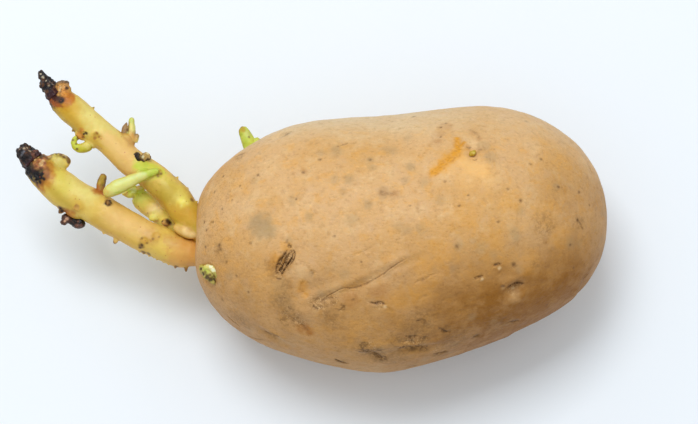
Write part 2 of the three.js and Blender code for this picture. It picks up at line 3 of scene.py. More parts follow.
import bpy
import numpy as np
from bpy.props import FloatProperty, FloatVectorProperty, IntProperty, PointerProperty
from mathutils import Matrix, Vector, noise
from mathutils.bvhtree import BVHTree


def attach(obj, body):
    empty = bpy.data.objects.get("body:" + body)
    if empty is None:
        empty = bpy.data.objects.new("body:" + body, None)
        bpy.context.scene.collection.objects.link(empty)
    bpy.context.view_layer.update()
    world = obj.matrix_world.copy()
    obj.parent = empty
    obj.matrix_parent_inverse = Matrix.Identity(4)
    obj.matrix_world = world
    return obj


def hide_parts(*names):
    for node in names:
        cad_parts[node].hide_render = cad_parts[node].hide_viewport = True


bl_info = {
    "name": "Sprouted Potato",
    "version": (1, 0, 0),
    "blender": (4, 5, 0),
    "location": "3D View > Sidebar > Potato",
    "description": "Models the skin, sprouts, withered tips and buds of a sprouted potato",
    "category": "Object",
}

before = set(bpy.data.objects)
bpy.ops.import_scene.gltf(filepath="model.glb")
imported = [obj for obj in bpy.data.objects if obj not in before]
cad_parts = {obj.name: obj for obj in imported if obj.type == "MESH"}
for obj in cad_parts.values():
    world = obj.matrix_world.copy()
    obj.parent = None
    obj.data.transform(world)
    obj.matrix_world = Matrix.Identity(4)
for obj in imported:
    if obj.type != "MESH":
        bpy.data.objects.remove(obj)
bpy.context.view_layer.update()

# Lengths in this file are in millimetres until they are written to a mesh.
MM = 0.001

# The picture's view: a camera 77 degrees above the floor, looking along +Y.
PICTURE_WIDTH = 698
PICTURE_HEIGHT = 424
PIXEL = 0.26
VIEW_DISTANCE = 600.0
VIEW_ELEVATION = math.radians(77.0)
AIM = np.array((-13.4, 8.49, 28.0))
VIEW_FORWARD = np.array((0.0, math.cos(VIEW_ELEVATION), -math.sin(VIEW_ELEVATION)))
VIEW_RIGHT = np.array((1.0, 0.0, 0.0))
VIEW_UP = np.array((0.0, math.sin(VIEW_ELEVATION), math.cos(VIEW_ELEVATION)))
VIEW_PLACE = AIM - VIEW_FORWARD * VIEW_DISTANCE
SENSOR_WIDTH = 36.0
NEAR_CLIP = 0.01

# Stage, in metres: the floor, the large soft light and the even light, which is weaker low down.
FLOOR_SIZE = 4.0
FLOOR_PLACE = (0.0, 0.0, -0.00002)
FLOOR_SHADE = (0.7, 0.74, 0.78)
WINDOW_SIZE = (0.65, 0.50)
WINDOW_PLACE = (-0.25, 0.42, 1.22)
WINDOW_AIM = (0.0, 0.0, 0.02)
WINDOW_COLOUR = (0.88, 0.94, 1.0)
SKY_COLOUR = (0.95, 0.98, 1.0, 1.0)
SKY_FULL_FROM = 0.9
HORIZON_SHARE = 0.35

# Tuber: half sizes of the rounded body, and how far it stands off the resting surface.
SPROUT_END = 54.2
FAR_END = 54.0
HALF_WIDTH = 33.3
RISE_ABOVE = 28.4
DROP_BELOW = 26.8
RESTING_DEPTH = 0.45
SQUARENESS = 2.25
SQUARENESS_TAPER = 0.1
UNDERSIDE_LEAN = 0.6
BODY_HEIGHT = DROP_BELOW - RESTING_DEPTH
GOLDEN_TURN = 2.39996

# Places tried for eyes out of the picture's sight, and each one's turn, half sizes, depth and brow.
HIDDEN_PLACES = 7
HIDDEN_EYE = (80, 3.8, 1.8, 0.9, 0.2)

# Cutting of the tuber's net: how far faces look to the picture, and which folds are cut finest.
BACK_FACING = -0.45
FOLD_FACING = 0.12
FOLD_REACHES = (3.0, 1.4)
DEEP_FOLD = 0.1

# Sprouts and shoots, as stations (x, y, z, radius) from the base to the end.
LOWER_SPROUT = (
    (-50.0, -2.4, 25.0, 2.7), (-53.3, -2.1, 25.0, 3.3), (-54.9, -1.7, 25.1, 3.8), (-57.5, -1.3, 25.2, 4.2),
    (-62.7, 0.9, 25.6, 4.3), (-67.9, 3.2, 26.0, 4.2), (-73.7, 6.3, 26.8, 4.3), (-78.4, 9.1, 27.6, 4.5),
    (-83.0, 11.6, 28.4, 4.4), (-88.5, 14.7, 29.2, 4.7), (-92.3, 18.2, 29.9, 4.2), (-94.6, 20.4, 30.3, 3.8),
    (-96.0, 21.8, 30.6, 3.1),
)
LOWER_TIP = (
    (-95.4, 21.2, 30.5, 2.8), (-96.1, 21.9, 30.6, 2.9), (-96.9, 22.7, 30.8, 2.5), (-97.6, 23.4, 31.0, 2.2),
    (-98.4, 24.1, 31.1, 1.7),
)
UPPER_SPROUT = (
    (-50.1, 2.9, 26.4, 3.8), (-55.5, 7.9, 27.6, 4.1), (-59.0, 12.6, 28.4, 4.0), (-63.6, 16.9, 29.2, 3.8),
    (-70.2, 21.4, 30.4, 3.7), (-75.8, 26.7, 31.4, 3.7), (-80.5, 30.4, 32.3, 3.7), (-85.9, 35.1, 33.4, 3.8),
    (-88.0, 36.7, 33.7, 3.5), (-89.3, 37.8, 34.0, 2.9), (-90.3, 38.8, 34.3, 2.1),
)
UPPER_TIP = (
    (-89.7, 38.2, 34.2, 2.3), (-90.4, 39.0, 34.4, 2.3), (-91.2, 40.0, 34.6, 2.0), (-92.0, 41.3, 34.9, 1.6),
    (-93.0, 42.8, 35.3, 1.0), (-94.0, 44.4, 35.7, 0.5),
)
MIDDLE_SPROUT = (
    (-50.4, 3.9, 21.2, 2.7), (-55.7, 4.9, 20.9, 2.9), (-59.7, 7.0, 21.3, 3.0), (-64.1, 10.3, 22.3, 2.9),
    (-67.3, 12.5, 23.4, 2.7), (-69.6, 14.2, 24.4, 2.2),
)
MIDDLE_SCALE = ((-60.4, 7.2, 23.2, 1.2), (-61.4, 6.6, 24.4, 1.0), (-62.4, 6.2, 25.2, 0.5))
GREEN_SHOOT = (
    (-62.6, 18.4, 33.0, 0.8), (-64.9, 17.5, 33.5, 1.1), (-67.4, 16.5, 33.8, 1.4), (-70.5, 15.0, 33.8, 1.7),
    (-73.1, 13.9, 33.4, 2.0), (-75.2, 12.9, 33.0, 1.7), (-76.9, 12.1, 32.7, 1.0),
)
BACK_SHOOT = (
    (-37.9, 22.6, 27.2, 2.1), (-39.5, 26.9, 27.8, 1.9), (-40.7, 29.4, 28.7, 1.5), (-41.6, 31.1, 29.6, 0.9),
)
CURL = (
    (-84.0, 27.4, 32.5, 0.8), (-84.8, 26.7, 32.4, 0.7), (-84.9, 25.8, 32.3, 0.8), (-84.3, 24.9, 32.2, 1.0),
    (-83.4, 24.6, 32.1, 1.2), (-82.4, 24.7, 32.0, 1.3), (-81.5, 25.1, 32.0, 1.4), (-80.7, 25.9, 32.0, 1.5),
)
LOWER_SCALE = (
    (-90.6, 22.8, 31.0, 0.5), (-88.7, 22.8, 31.9, 0.5), (-87.1, 22.3, 32.0, 0.5), (-86.1, 21.3, 31.4, 0.5),
    (-86.6, 20.2, 30.8, 0.4),
)
UPPER_SCALE = ((-89.6, 40.6, 35.9, 0.5), (-87.9, 41.1, 36.4, 0.6), (-85.9, 40.9, 36.0, 0.5))

# Eyes and scars that shape the body: place, turn, half length, half width, depth, brow.
EYES = [
    ((-29.3, -9.5, 50.8), 62, 4.2, 1.5, 1.5, 0.5),
    ((-23.1, -17.0, 50.1), 20, 3.4, 2.4, 0.6, 0.3),
    ((17.5, 17.8, 51.3), 105, 3.6, 2.2, 0.9, -0.12),
    ((28.2, -15.4, 44.8), 15, 2.4, 1.7, 1.3, 0.5),
    ((46.7, -11.3, 28.8), 65, 4.0, 1.5, 0.9, 0.4),
    ((-7.6, -31.6, 36.6), 8, 4.0, 2.4, 1.0, 0.4),
    ((3.4, -30.2, 38.7), -8, 4.6, 1.5, 1.0, 0.5),
    ((-33.4, -25.9, 34.6), -18, 3.4, 1.5, 0.8, 0.3),
    ((-25.9, -24.0, 42.5), -35, 4.2, 2.4, 0.7, 0.3),
    ((-19.8, -19.0, 49.8), 30, 4.0, 1.1, 0.6, 0.4),
    ((-11.0, -16.0, 52.0), 27, 5.0, 1.1, 0.6, 0.4),
    ((-1.0, -11.4, 53.6), 22, 5.0, 1.2, 0.4, 0.3),
    ((-30.3, 25.2, 41.1), 20, 3.0, 1.2, 0.6, 0.3),
    ((-38.4, 23.6, 27.2), 10, 3.6, 2.6, 1.0, 0.3),
    ((-48.9, -9.8, 37.2), 90, 3.0, 2.4, 0.9, 0.2),
    ((-54.0, 2.6, 25.6), 90, 8.5, 7.0, 1.7, 0.0),
]

# Folds and cracks of the skin, as seen in the picture: points, half width, depth, lip, soil.
# A lip above 0 is raised on the left of the line's way, and one below 0 on its right.
FOLDS = [
    # Scarred groove, its side cracks and the curved folds beside it.
    (((291, 249), (294, 254), (293, 259), (290, 263), (287, 267)), 0.18, 0.34, 0.08, 0.85),
    (((288, 249), (284, 254), (280, 259), (277, 265), (275, 272)), 0.20, 0.34, -0.06, 0.85),
    (((289, 252), (285, 257), (283, 263), (280, 268), (277, 275)), 0.24, 0.55, 0.0, 1.1),
    (((291, 255), (288, 261), (285, 266), (282, 271), (280, 278)), 0.20, 0.45, 0.0, 1.1),
    (((286, 252), (282, 257), (279, 263), (277, 270)), 0.16, 0.30, 0.0, 0.9),
    (((292, 252), (290, 258), (287, 263), (284, 268)), 0.16, 0.30, 0.0, 0.9),
    (((274, 277), (277, 279), (281, 279)), 0.22, 0.16, 0.0, 0.6),
    (((288, 239), (287, 242), (289, 245)), 0.30, 0.12, 0.0, 0.25),
    (((295, 259), (303, 263), (309, 268), (313, 274)), 0.34, 0.12, -0.06, 0.10),
    (((306, 279), (302, 284), (300, 290), (303, 295), (310, 298)), 0.40, 0.16, 0.08, 0.10),
    (((308, 273), (311, 271), (313, 274), (311, 277)), 0.20, 0.10, 0.0, 0.25),
    # Long wrinkle across the near side, and finer lines above it.
    (((309, 302), (318, 304), (325, 299), (333, 294), (342, 289), (352, 289), (362, 286), (372, 281),
      (382, 275), (390, 269), (400, 262), (413, 256)), 0.16, 0.17, -0.10, 0.45),
    (((345, 258), (355, 254), (365, 250), (378, 243)), 0.18, 0.09, 0.0, 0.20),
    (((321, 276), (330, 272), (338, 266)), 0.30, 0.08, 0.0, 0.08),
    (((412, 285), (420, 280), (430, 276), (438, 272)), 0.30, 0.12, -0.05, 0.2),
    (((417, 299), (424, 296), (431, 293)), 0.28, 0.10, 0.0, 0.15),
    (((402, 275), (410, 271), (417, 266)), 0.28, 0.08, 0.0, 0.1),
    (((384, 292), (396, 289), (408, 288)), 0.30, 0.08, 0.0, 0.08),
    (((368, 303), (374, 304), (380, 303), (386, 305)), 0.34, 0.30, -0.12, 0.8),
    (((384, 306), (390, 309), (396, 312)), 0.26, 0.10, 0.0, 0.25),
    (((311, 305), (315, 309), (323, 308)), 0.26, 0.14, 0.0, 0.6),
    (((322, 301), (328, 299), (334, 300)), 0.24, 0.12, 0.0, 0.45),
    (((334, 309), (340, 311), (345, 305)), 0.26, 0.12, 0.0, 0.4),
    # Eye with the tiny bud: its brow and the creases beside it.
    (((466, 130), (472, 130), (477, 134), (480, 140)), 0.30, 0.10, 0.0, 0.30),
    (((482, 146), (488, 154), (490, 165)), 0.8, 0.16, 0.0, 0.10),
    (((466, 146), (469, 147), (472, 146)), 0.24, 0.14, 0.0, 0.4),
    (((478, 151), (480, 150), (482, 151)), 0.2, 0.1, 0.0, 0.35),
    (((472, 159), (475, 160), (478, 158)), 0.20, 0.12, 0.0, 0.35),
    # Scratch into the flesh, in two branches.
    (((427, 176), (433, 172), (441, 166), (449, 160), (457, 153)), 0.80, 0.10, 0.04, 0.0),
    (((458, 137), (457, 144), (458, 152)), 0.55, 0.08, 0.0, 0.0),
    # Dimple on the near right, flakes, and the groove on the right end.
    (((507, 289), (513, 286), (519, 284), (526, 285)), 0.42, 0.32, -0.12, 0.75),
    (((508, 296), (516, 293), (524, 292)), 0.3, 0.10, 0.0, 0.15),
    (((574, 292), (580, 286), (585, 279), (589, 272)), 0.40, 0.30, 0.10, 0.5),
    (((493, 266), (497, 264), (502, 264)), 0.30, 0.24, -0.12, 0.7),
    (((474, 279), (479, 277), (484, 276)), 0.30, 0.24, -0.12, 0.6),
    (((577, 217), (581, 223), (583, 229)), 0.26, 0.12, 0.0, 0.4),
    (((586, 163), (590, 168), (593, 175)), 0.26, 0.12, 0.0, 0.3),
    # Creases low on the near side.
    (((263, 332), (268, 334), (273, 335), (280, 337)), 0.46, 0.55, 0.14, 1.5),
    (((247, 334), (256, 338), (266, 340)), 0.26, 0.2, 0.0, 0.5),
    (((286, 316), (293, 323), (301, 328), (309, 335)), 0.5, 0.16, 0.06, 0.25),
    (((226, 315), (233, 321), (241, 327)), 0.3, 0.2, 0.0, 0.5),
    (((334, 360), (341, 363), (350, 365)), 0.40, 0.50, 0.1, 1.3),
    (((360, 349), (368, 353), (376, 358), (384, 361)), 0.6, 0.3, 0.10, 0.20),
    (((398, 349), (407, 347), (416, 348), (424, 350)), 0.5, 0.45, 0.16, 1.0),
    (((404, 336), (411, 337), (419, 336)), 0.28, 0.2, 0.0, 0.6),
    (((402, 343), (409, 341), (417, 343)), 0.24, 0.14, 0.0, 0.45),
    (((433, 355), (441, 354), (449, 352)), 0.40, 0.34, 0.1, 0.9),
    (((438, 327), (444, 331), (452, 333)), 0.30, 0.22, 0.0, 0.7),
    (((473, 338), (477, 337), (481, 335)), 0.28, 0.2, 0.0, 0.6),
    (((505, 323), (512, 321), (520, 320)), 0.26, 0.15, 0.0, 0.5),
    (((406, 368), (412, 367), (419, 366)), 0.28, 0.2, 0.0, 0.8),
    (((415, 322), (421, 320), (427, 321)), 0.26, 0.12, 0.0, 0.5),
    # Short groove on the far left shoulder, and the nick at the outline beside it.
    (((280, 137), (286, 134), (293, 131)), 0.42, 0.22, 0.10, 0.35),
    (((336, 147), (342, 145), (350, 142)), 0.3, 0.12, 0.0, 0.3),
    (((232, 158), (239, 155), (247, 151)), 0.28, 0.14, 0.0, 0.35),
    (((378, 195), (386, 194), (396, 194)), 0.35, 0.05, 0.0, 0.25),
    (((385, 202), (398, 198), (412, 195)), 0.25, 0.04, 0.0, 0.12),
    # Shallow wrinkles of drying skin.
    (((352, 222), (362, 219), (371, 213)), 0.4, 0.06, 0.0, 0.05),
    (((440, 300), (452, 297), (465, 292)), 0.4, 0.07, 0.0, 0.08),
    (((330, 330), (345, 330), (360, 326)), 0.45, 0.08, 0.0, 0.1),
    (((450, 312), (466, 310), (480, 304)), 0.4, 0.08, 0.0, 0.1),
    (((530, 250), (541, 246), (551, 240)), 0.4, 0.05, 0.0, 0.05),
]

# Round dents and swellings, as seen in the picture: place, radius, depth (below 0 is a swelling).
DENTS = [
    ((299, 268), 2.4, -0.35), ((270, 266), 2.0, 0.30), ((308, 291), 2.2, 0.25), ((292, 290), 2.4, -0.15),
    ((516, 286), 1.8, 0.40), ((515, 299), 2.6, -0.28), ((497, 269), 0.8, -0.20), ((480, 280), 0.8, -0.18),
    ((514, 265), 0.5, 0.3), ((502, 287), 0.5, 0.3), ((476, 166), 2.4, -0.15),
    ((372, 354), 2.6, 0.25), ((412, 347), 2.6, 0.25), ((293, 320), 2.6, 0.25), ((262, 226), 3.0, 0.10),
    ((368, 205), 1.3, 0.08), ((308, 217), 1.0, 0.12), ((352, 304), 2.6, -0.12), ((392, 285), 2.4, -0.12),
    ((327, 306), 2.2, -0.12), ((423, 321), 0.5, 0.2), ((457, 246), 0.5, 0.12), ((520, 201), 0.4, 0.12),
    ((382, 192), 0.4, 0.1), ((303, 172), 0.4, 0.1), ((547, 305), 0.5, 0.15),
]

# Stained places of the skin, and places of painted shade and highlight, as seen in the picture: mask,
# strength, and (place, radius) pairs.
STAINS = [
    ("grey", 0.62, (((261, 226), 3.0), ((257, 223), 2.4), ((267, 230), 2.2))),
    ("grey", 0.45, (((309, 217), 1.2), ((349, 179), 1.3), ((368, 205), 1.2), ((410, 167), 1.1),
                    ((370, 160), 0.9))),
    ("grey", 0.30, (((400, 228), 1.6), ((490, 158), 1.8), ((336, 152), 1.6), ((392, 150), 1.4),
                    ((440, 200), 1.3),
                    ((420, 228), 1.4), ((384, 192), 1.6), ((484, 148), 1.8), ((344, 275), 1.4),
                    ((352, 220), 1.6))),
    ("grey", 0.30, (((520, 211), 1.2), ((482, 247), 1.3), ((458, 246), 1.2), ((335, 180), 1.3),
                    ((372, 168), 1.0),
                    ((292, 200), 1.3), ((424, 182), 1.2), ((556, 187), 1.2), ((571, 243), 1.6),
                    ((515, 233), 1.4))),
    ("grey", 0.24, (((311, 274), 0.7), ((280, 287), 2.2), ((283, 300), 2.4), ((288, 240), 0.9))),
    ("dirt_and_shade", 0.80, (((291, 253), 0.9), ((288, 258), 1.2), ((283, 264), 1.3), ((279, 271), 1.2),
                    ((289, 246), 0.5))),
    ("dirt_and_shade", 0.28, (((270, 266), 1.6), ((272, 274), 1.3), ((286, 286), 1.6), ((312, 271), 0.6),
                    ((278, 279), 1.0))),
    ("dirt_and_shade", 0.45, (((313, 306), 1.0), ((322, 304), 1.4), ((333, 301), 1.3), ((342, 307), 0.8),
                    ((316, 300), 1.0))),
    ("dirt_and_shade", 0.46, (((287, 314), 2.2), ((294, 320), 2.2), ((284, 322), 1.8), ((297, 325), 1.6),
                    ((290, 309), 1.2))),
    ("dirt_and_shade", 0.80, (((366, 351), 2.1), ((373, 355), 2.5), ((381, 360), 1.8), ((364, 346), 1.4),
                    ((377, 351), 1.4))),
    ("dirt_and_shade", 0.70, (((405, 349), 1.8), ((414, 349), 2.0), ((424, 350), 1.5), ((412, 338), 1.3),
                    ((424, 338), 1.4))),
    ("dirt_and_shade", 0.55, (((441, 355), 1.8), ((341, 363), 1.4), ((271, 335), 1.4), ((446, 330), 1.4),
                    ((476, 337), 1.2))),
    ("dirt_and_shade", 0.45, (((516, 285), 1.4), ((583, 281), 1.4), ((513, 321), 1.1), ((514, 265), 0.8),
                    ((396, 340), 2.0))),
    ("dirt_and_shade", 0.30, (((286, 135), 1.4), ((580, 222), 2.0), ((240, 156), 1.6), ((536, 265), 1.4),
                    ((412, 366), 1.2))),
    # Painted shade: broad darker patches, mostly low on the near side.
    ("dirt_and_shade", 0.32, (((280, 300), 2.6), ((420, 325), 4.5), ((330, 318), 2.6), ((455, 342), 4.0),
                    ((395, 357), 4.0),
                    ((240, 320), 3.0), ((500, 325), 3.0), ((218, 250), 1.6), ((222, 258), 1.2),
                    ((545, 225), 3.0))),
    ("flake", 0.9, (((292, 253), 1.0), ((287, 259), 1.3), ((282, 266), 1.3), ((278, 274), 1.1),
                    ((320, 305), 2.2))),
    ("flake", 0.6, (((333, 302), 1.6), ((290, 314), 2.0), ((298, 323), 1.8), ((275, 338), 1.6),
                    ((372, 346), 2.0),
                    ((414, 344), 2.4), ((312, 304), 1.6), ((378, 306), 1.2), ((514, 291), 1.4),
                    ((440, 350), 1.6))),
    ("rust", 0.60, (((309, 334), 1.2), ((305, 330), 1.4), ((300, 331), 1.2))),
    ("rust", 0.24, (((275, 260), 1.6), ((272, 266), 1.4), ((302, 286), 0.9), ((301, 291), 0.8))),
    ("bare", 0.40, (((302, 285), 1.2), ((301, 290), 1.1), ((304, 296), 0.9), ((275, 258), 1.6),
                    ((286, 247), 1.2))),
    ("soil", 0.95, (((269, 334), 0.5), ((273, 335), 0.6), ((277, 336), 0.5), ((338, 362), 0.5),
                    ((343, 363), 0.6))),
    ("rust", 0.30, (((394, 194), 1.2), ((384, 193), 1.2), ((304, 171), 0.9), ((350, 300), 2.0),
                    ((380, 292), 2.4))),
    ("rust", 0.26, (((468, 147), 0.8), ((480, 150), 0.6), ((463, 143), 0.9), ((474, 133), 1.0),
                    ((479, 139), 0.8),
                    ((446, 126), 1.6), ((440, 134), 1.6), ((436, 142), 1.4))),
    ("bare", 0.22, (((430, 268), 3.5), ((420, 292), 3.5), ((400, 300), 3.0), ((442, 250), 3.0),
                    ((545, 215), 3.5),
                    ((512, 200), 3.0), ((465, 215), 3.0), ((560, 235), 3.0), ((490, 240), 3.0),
                    ((530, 262), 3.0))),
    ("glow", 0.55, (((464, 163), 2.2), ((471, 168), 2.8), ((480, 172), 2.6))),
    ("glow", 0.28, (((466, 178), 3.0), ((486, 180), 3.0), ((451, 170), 2.0), ((462, 150), 1.6))),
    # Painted highlights on raised flakes, lips of folds and small swellings; the flakes are lighter skin as
    # well.
    ("pale_flake_and_highlight", 0.85, (((499, 268), 0.45), ((482, 279), 0.4), ((385, 307), 0.4), ((515, 290), 0.3))),
    ("pale_flake_and_highlight", 0.24, (((302, 272), 1.6), ((515, 297), 1.4), ((503, 288), 0.5), ((372, 281), 1.4),
                    ((336, 288), 1.4))),
]

# Single dark specks of the skin, as seen in the picture, with their radius.
SPECKS = [
    ((303, 172), 0.32), ((320, 160), 0.35), ((258, 175), 0.35), ((370, 160), 0.36), ((382, 192), 0.36),
    ((457, 246), 0.42),
    ((520, 201), 0.45), ((547, 305), 0.36), ((558, 187), 0.4), ((413, 116), 0.4), ((441, 127), 0.28),
    ((446, 123), 0.24),
    ((441, 137), 0.24), ((219, 245), 0.5), ((220, 249), 0.4), ((226, 262), 0.35), ((222, 300), 0.35),
    ((219, 296), 0.3),
    ((204, 222), 0.35), ((206, 230), 0.3), ((205, 247), 0.35), ((213, 222), 0.3), ((503, 286), 0.35),
    ((514, 265), 0.4),
    ((425, 322), 0.4), ((512, 321), 0.4), ((578, 220), 0.35), ((583, 228), 0.35), ((334, 236), 0.25),
    ((445, 182), 0.28),
    ((410, 206), 0.25), ((540, 160), 0.3), ((498, 222), 0.28), ((361, 262), 0.25), ((248, 292), 0.3),
    ((236, 276), 0.3),
    ((571, 245), 0.4), ((590, 205), 0.3), ((579, 192), 0.35), ((459, 206), 0.3), ((507, 190), 0.35),
    ((527, 123), 0.35),
    ((530, 165), 0.3), ((468, 196), 0.25), ((353, 300), 0.3), ((574, 268), 0.35), ((296, 199), 0.25),
    ((211, 222), 0.25),
    ((222, 209), 0.25), ((240, 186), 0.3), ((224, 176), 0.28), ((250, 243), 0.25), ((215, 192), 0.28),
    ((232, 200), 0.25),
]

# Tones, as seen in daylight.
SKIN = (213, 168, 113)
SKIN_OCHRE = (204, 152, 82)
SKIN_PALE = (222, 184, 132)
PALE_YELLOW = (228, 212, 126)
YELLOW = (220, 190, 88)
OCHRE = (208, 162, 52)
PEACH = (230, 188, 114)
AMBER = (216, 160, 82)
OLIVE = (182, 150, 38)
LIME = (180, 200, 62)
MINT = (214, 222, 150)
CREAM = (230, 222, 178)
TAN = (196, 146, 78)
RUST = (176, 96, 34)
BROWN = (104, 64, 36)
UMBER = (60, 36, 24)
PURPLE = (74, 34, 40)
BLACK = (20, 14, 15)


def tone(colour, share=1.0):
    """Light reflected by a tone that is given as it looks in daylight, 0 to 255."""
    value = np.array(colour, float) / 255.0
    light = np.where(value <= 0.04045, value / 12.92, ((value + 0.055) / 1.055) ** 2.4)
    return tuple(light * share)


def ease(share):
    s = np.clip(share, 0.0, 1.0)
    return s * s * (3.0 - 2.0 * s)


def bell(*parts):
    return np.exp(-sum(part * part for part in parts))


def unit(vectors):
    return vectors / np.maximum(np.linalg.norm(vectors, axis=-1, keepdims=True), 1e-9)


# The picture's view

def sight_line(place):
    """Way from the camera through a place of the picture."""
    reach = VIEW_DISTANCE / PIXEL
    right = (place[0] - PICTURE_WIDTH / 2) / reach
    up = (PICTURE_HEIGHT / 2 - place[1]) / reach
    return unit(VIEW_FORWARD + VIEW_RIGHT * right + VIEW_UP * up)


def in_picture(points):
    """Place in the picture of each point."""
    away = points - VIEW_PLACE
    depth = away @ VIEW_FORWARD
    reach = VIEW_DISTANCE / PIXEL
    across = PICTURE_WIDTH / 2 + (away @ VIEW_RIGHT) / depth * reach
    down = PICTURE_HEIGHT / 2 - (away @ VIEW_UP) / depth * reach
    return np.stack((across, down), axis=1)


def seen_on(tree, place):
    """Point of a surface that the picture shows at a place, or the nearest one to that line of sight."""
    way = Vector(sight_line(place))
    start = Vector(VIEW_PLACE)
    hit = tree.ray_cast(start, way)[0]
    if hit is not None:
        return np.array(hit)
    best = min(
        (tree.find_nearest(start + way * (VIEW_DISTANCE + step)) for step in range(-40, 41, 2)),
        key=lambda found: found[3],
    )
    return np.array(best[0])


# Curves

def smooth_path(points, per_span):
    """Centripetal curve through points, with some samples in each span."""
    p = np.array(points, float)
    p = np.vstack((2 * p[0] - p[1], p, 2 * p[-1] - p[-2]))
    samples = []
    for i in range(1, len(p) - 2):
        a, b, c, d = p[i - 1:i + 3]
        t0 = 0.0
        t1 = t0 + np.linalg.norm(b - a) ** 0.5
        t2 = t1 + np.linalg.norm(c - b) ** 0.5
        t3 = t2 + np.linalg.norm(d - c) ** 0.5
        for t in np.linspace(t1, t2, per_span, endpoint=False):
            ab = (a * (t1 - t) + b * (t - t0)) / (t1 - t0)
            bc = (b * (t2 - t) + c * (t - t1)) / (t2 - t1)
            cd = (c * (t3 - t) + d * (t - t2)) / (t3 - t2)
            abc = (ab * (t2 - t) + bc * (t - t0)) / (t2 - t0)
            bcd = (bc * (t3 - t) + cd * (t - t1)) / (t3 - t1)
            samples.append((abc * (t2 - t) + bcd * (t - t1)) / (t2 - t1))
    samples.append(p[-2])
    return np.array(samples)


class StemLine:
    """Centre line of a stem through its stations, with its radius and its sides."""

    def __init__(self, stations):
        s = np.array(stations, float)
        self.points = smooth_path(s[:, :3], 24)
        runs = np.concatenate(([0.0], np.cumsum(np.linalg.norm(np.diff(self.points, axis=0), axis=1))))
        self.length = runs[-1]
        self.shares = runs / self.length
        self.along = unit(np.gradient(self.points, axis=0))
        knots = np.concatenate(([0.0], np.cumsum(np.linalg.norm(np.diff(s[:, :3], axis=0), axis=1))))
        knots /= knots[-1]
        span = np.clip(np.searchsorted(knots, self.shares, side="right") - 1, 0, len(knots) - 2)
        part = ease((self.shares - knots[span]) / (knots[span + 1] - knots[span]))
        self.radius = s[span, 3] * (1 - part) + s[span + 1, 3] * part
        upright = np.tile((0.0, 0.0, 1.0), (len(self.points), 1))
        upright[np.abs(self.along[:, 2]) > 0.9] = (1.0, 0.0, 0.0)
        self.side = -unit(np.cross(upright, self.along))
        self.lift = unit(np.cross(self.side, self.along))

    def at(self, shares):
        """Centre, way along, side, lift and radius at shares of the length."""
        def pick(values):
            if values.ndim == 1:
                return np.interp(shares, self.shares, values)
            return np.stack([np.interp(shares, self.shares, column) for column in values.T], axis=1)

        return pick(self.points), pick(self.along), pick(self.side), pick(self.lift), pick(self.radius)

    def seat(self, share, angle):
        """Point on the stem's surface and the way out there."""
        centre, along, side, lift, radius = self.at(np.array([share]))
        turn = math.radians(angle)
        out = side[0] * math.cos(turn) + lift[0] * math.sin(turn)
        return centre[0] + out * radius[0], out, along[0]

    def measure(self, points):
        """Share of the length and angle round the stem of each point."""
        near = np.empty(len(points), int)
        for start in range(0, len(points), 4000):
            block = points[start:start + 4000]
            gaps = ((block[:, None, :] - self.points[None, :, :]) ** 2).sum(axis=2)
            near[start:start + 4000] = gaps.argmin(axis=1)
        away = points - self.points[near]
        angle = np.degrees(np.arctan2((away * self.lift[near]).sum(1), (away * self.side[near]).sum(1)))
        return self.shares[near], angle


# Making pieces

def deselect():
    if bpy.context.object is not None and bpy.context.object.mode != "OBJECT":
        bpy.ops.object.mode_set(mode="OBJECT")
    bpy.ops.object.select_all(action="DESELECT")


def pick_only(obj):
    deselect()
    obj.select_set(True)
    bpy.context.view_layer.objects.active = obj


def points_of(obj):
    flat = np.empty(len(obj.data.vertices) * 3, np.float32)
    obj.data.vertices.foreach_get("co", flat)
    return flat.reshape(-1, 3).astype(float) / MM


def put_points(obj, points):
    obj.data.vertices.foreach_set("co", (points * MM).astype(np.float32).ravel())
    obj.data.update()


def normals_of(obj):
    flat = np.empty(len(obj.data.vertices) * 3, np.float32)
    obj.data.vertex_normals.foreach_get("vector", flat)
    return flat.reshape(-1, 3).astype(float)


def surface_tree(points, obj):
    faces = [tuple(face.vertices) for face in obj.data.polygons]
    return BVHTree.FromPolygons([tuple(p) for p in points], faces)


def stem_piece(stations, sides=28, gap=0.7, flat=1.0, start_round=0.0, end_round=0.6, ripple=0.0):
    """Tube bent along stations: a cylinder cut into rings, each moved to its place on the centre line."""
    line = StemLine(stations)
    rings = max(6, round(line.length / gap))
    deselect()
    bpy.ops.mesh.primitive_cylinder_add(vertices=sides, radius=1.0, depth=1.0, end_fill_type="NGON")
    obj = bpy.context.object
    mesh = obj.data
    bpy.context.tool_settings.mesh_select_mode = (False, True, False)
    bpy.ops.object.mode_set(mode="EDIT")
    bpy.ops.mesh.select_all(action="DESELECT")
    bpy.ops.object.mode_set(mode="OBJECT")
    for edge in mesh.edges:
        low, high = (mesh.vertices[v].co.z for v in edge.vertices)
        edge.select = abs(high - low) > 0.5
    bpy.ops.object.mode_set(mode="EDIT")
    bpy.ops.mesh.subdivide(number_cuts=rings)
    bpy.ops.object.mode_set(mode="OBJECT")
    straight = points_of(obj) * MM
    share = straight[:, 2] + 0.5
    turn = np.arctan2(straight[:, 1], straight[:, 0])
    centre, _, side, lift, radius = line.at(share)
    width = np.ones(len(share))
    for length, part in ((line.radius[0] * start_round, share), (line.radius[-1] * end_round, 1 - share)):
        if length > 0:
            inside = np.clip(part * line.length / length, 0.0, 1.0)
            width *= np.sqrt(np.maximum(1 - (1 - inside) ** 2, 0.01))
    wave = 1 + ripple * (np.sin(3 * turn + share * line.length * 0.6) + 0.7
                         * np.sin(2 * turn - share * line.length * 0.9))
    spread = (radius * width * wave)[:, None]
    put_points(obj, centre + spread * (side * np.cos(turn)[:, None] + lift * np.sin(turn)[:, None] * flat))
    return obj


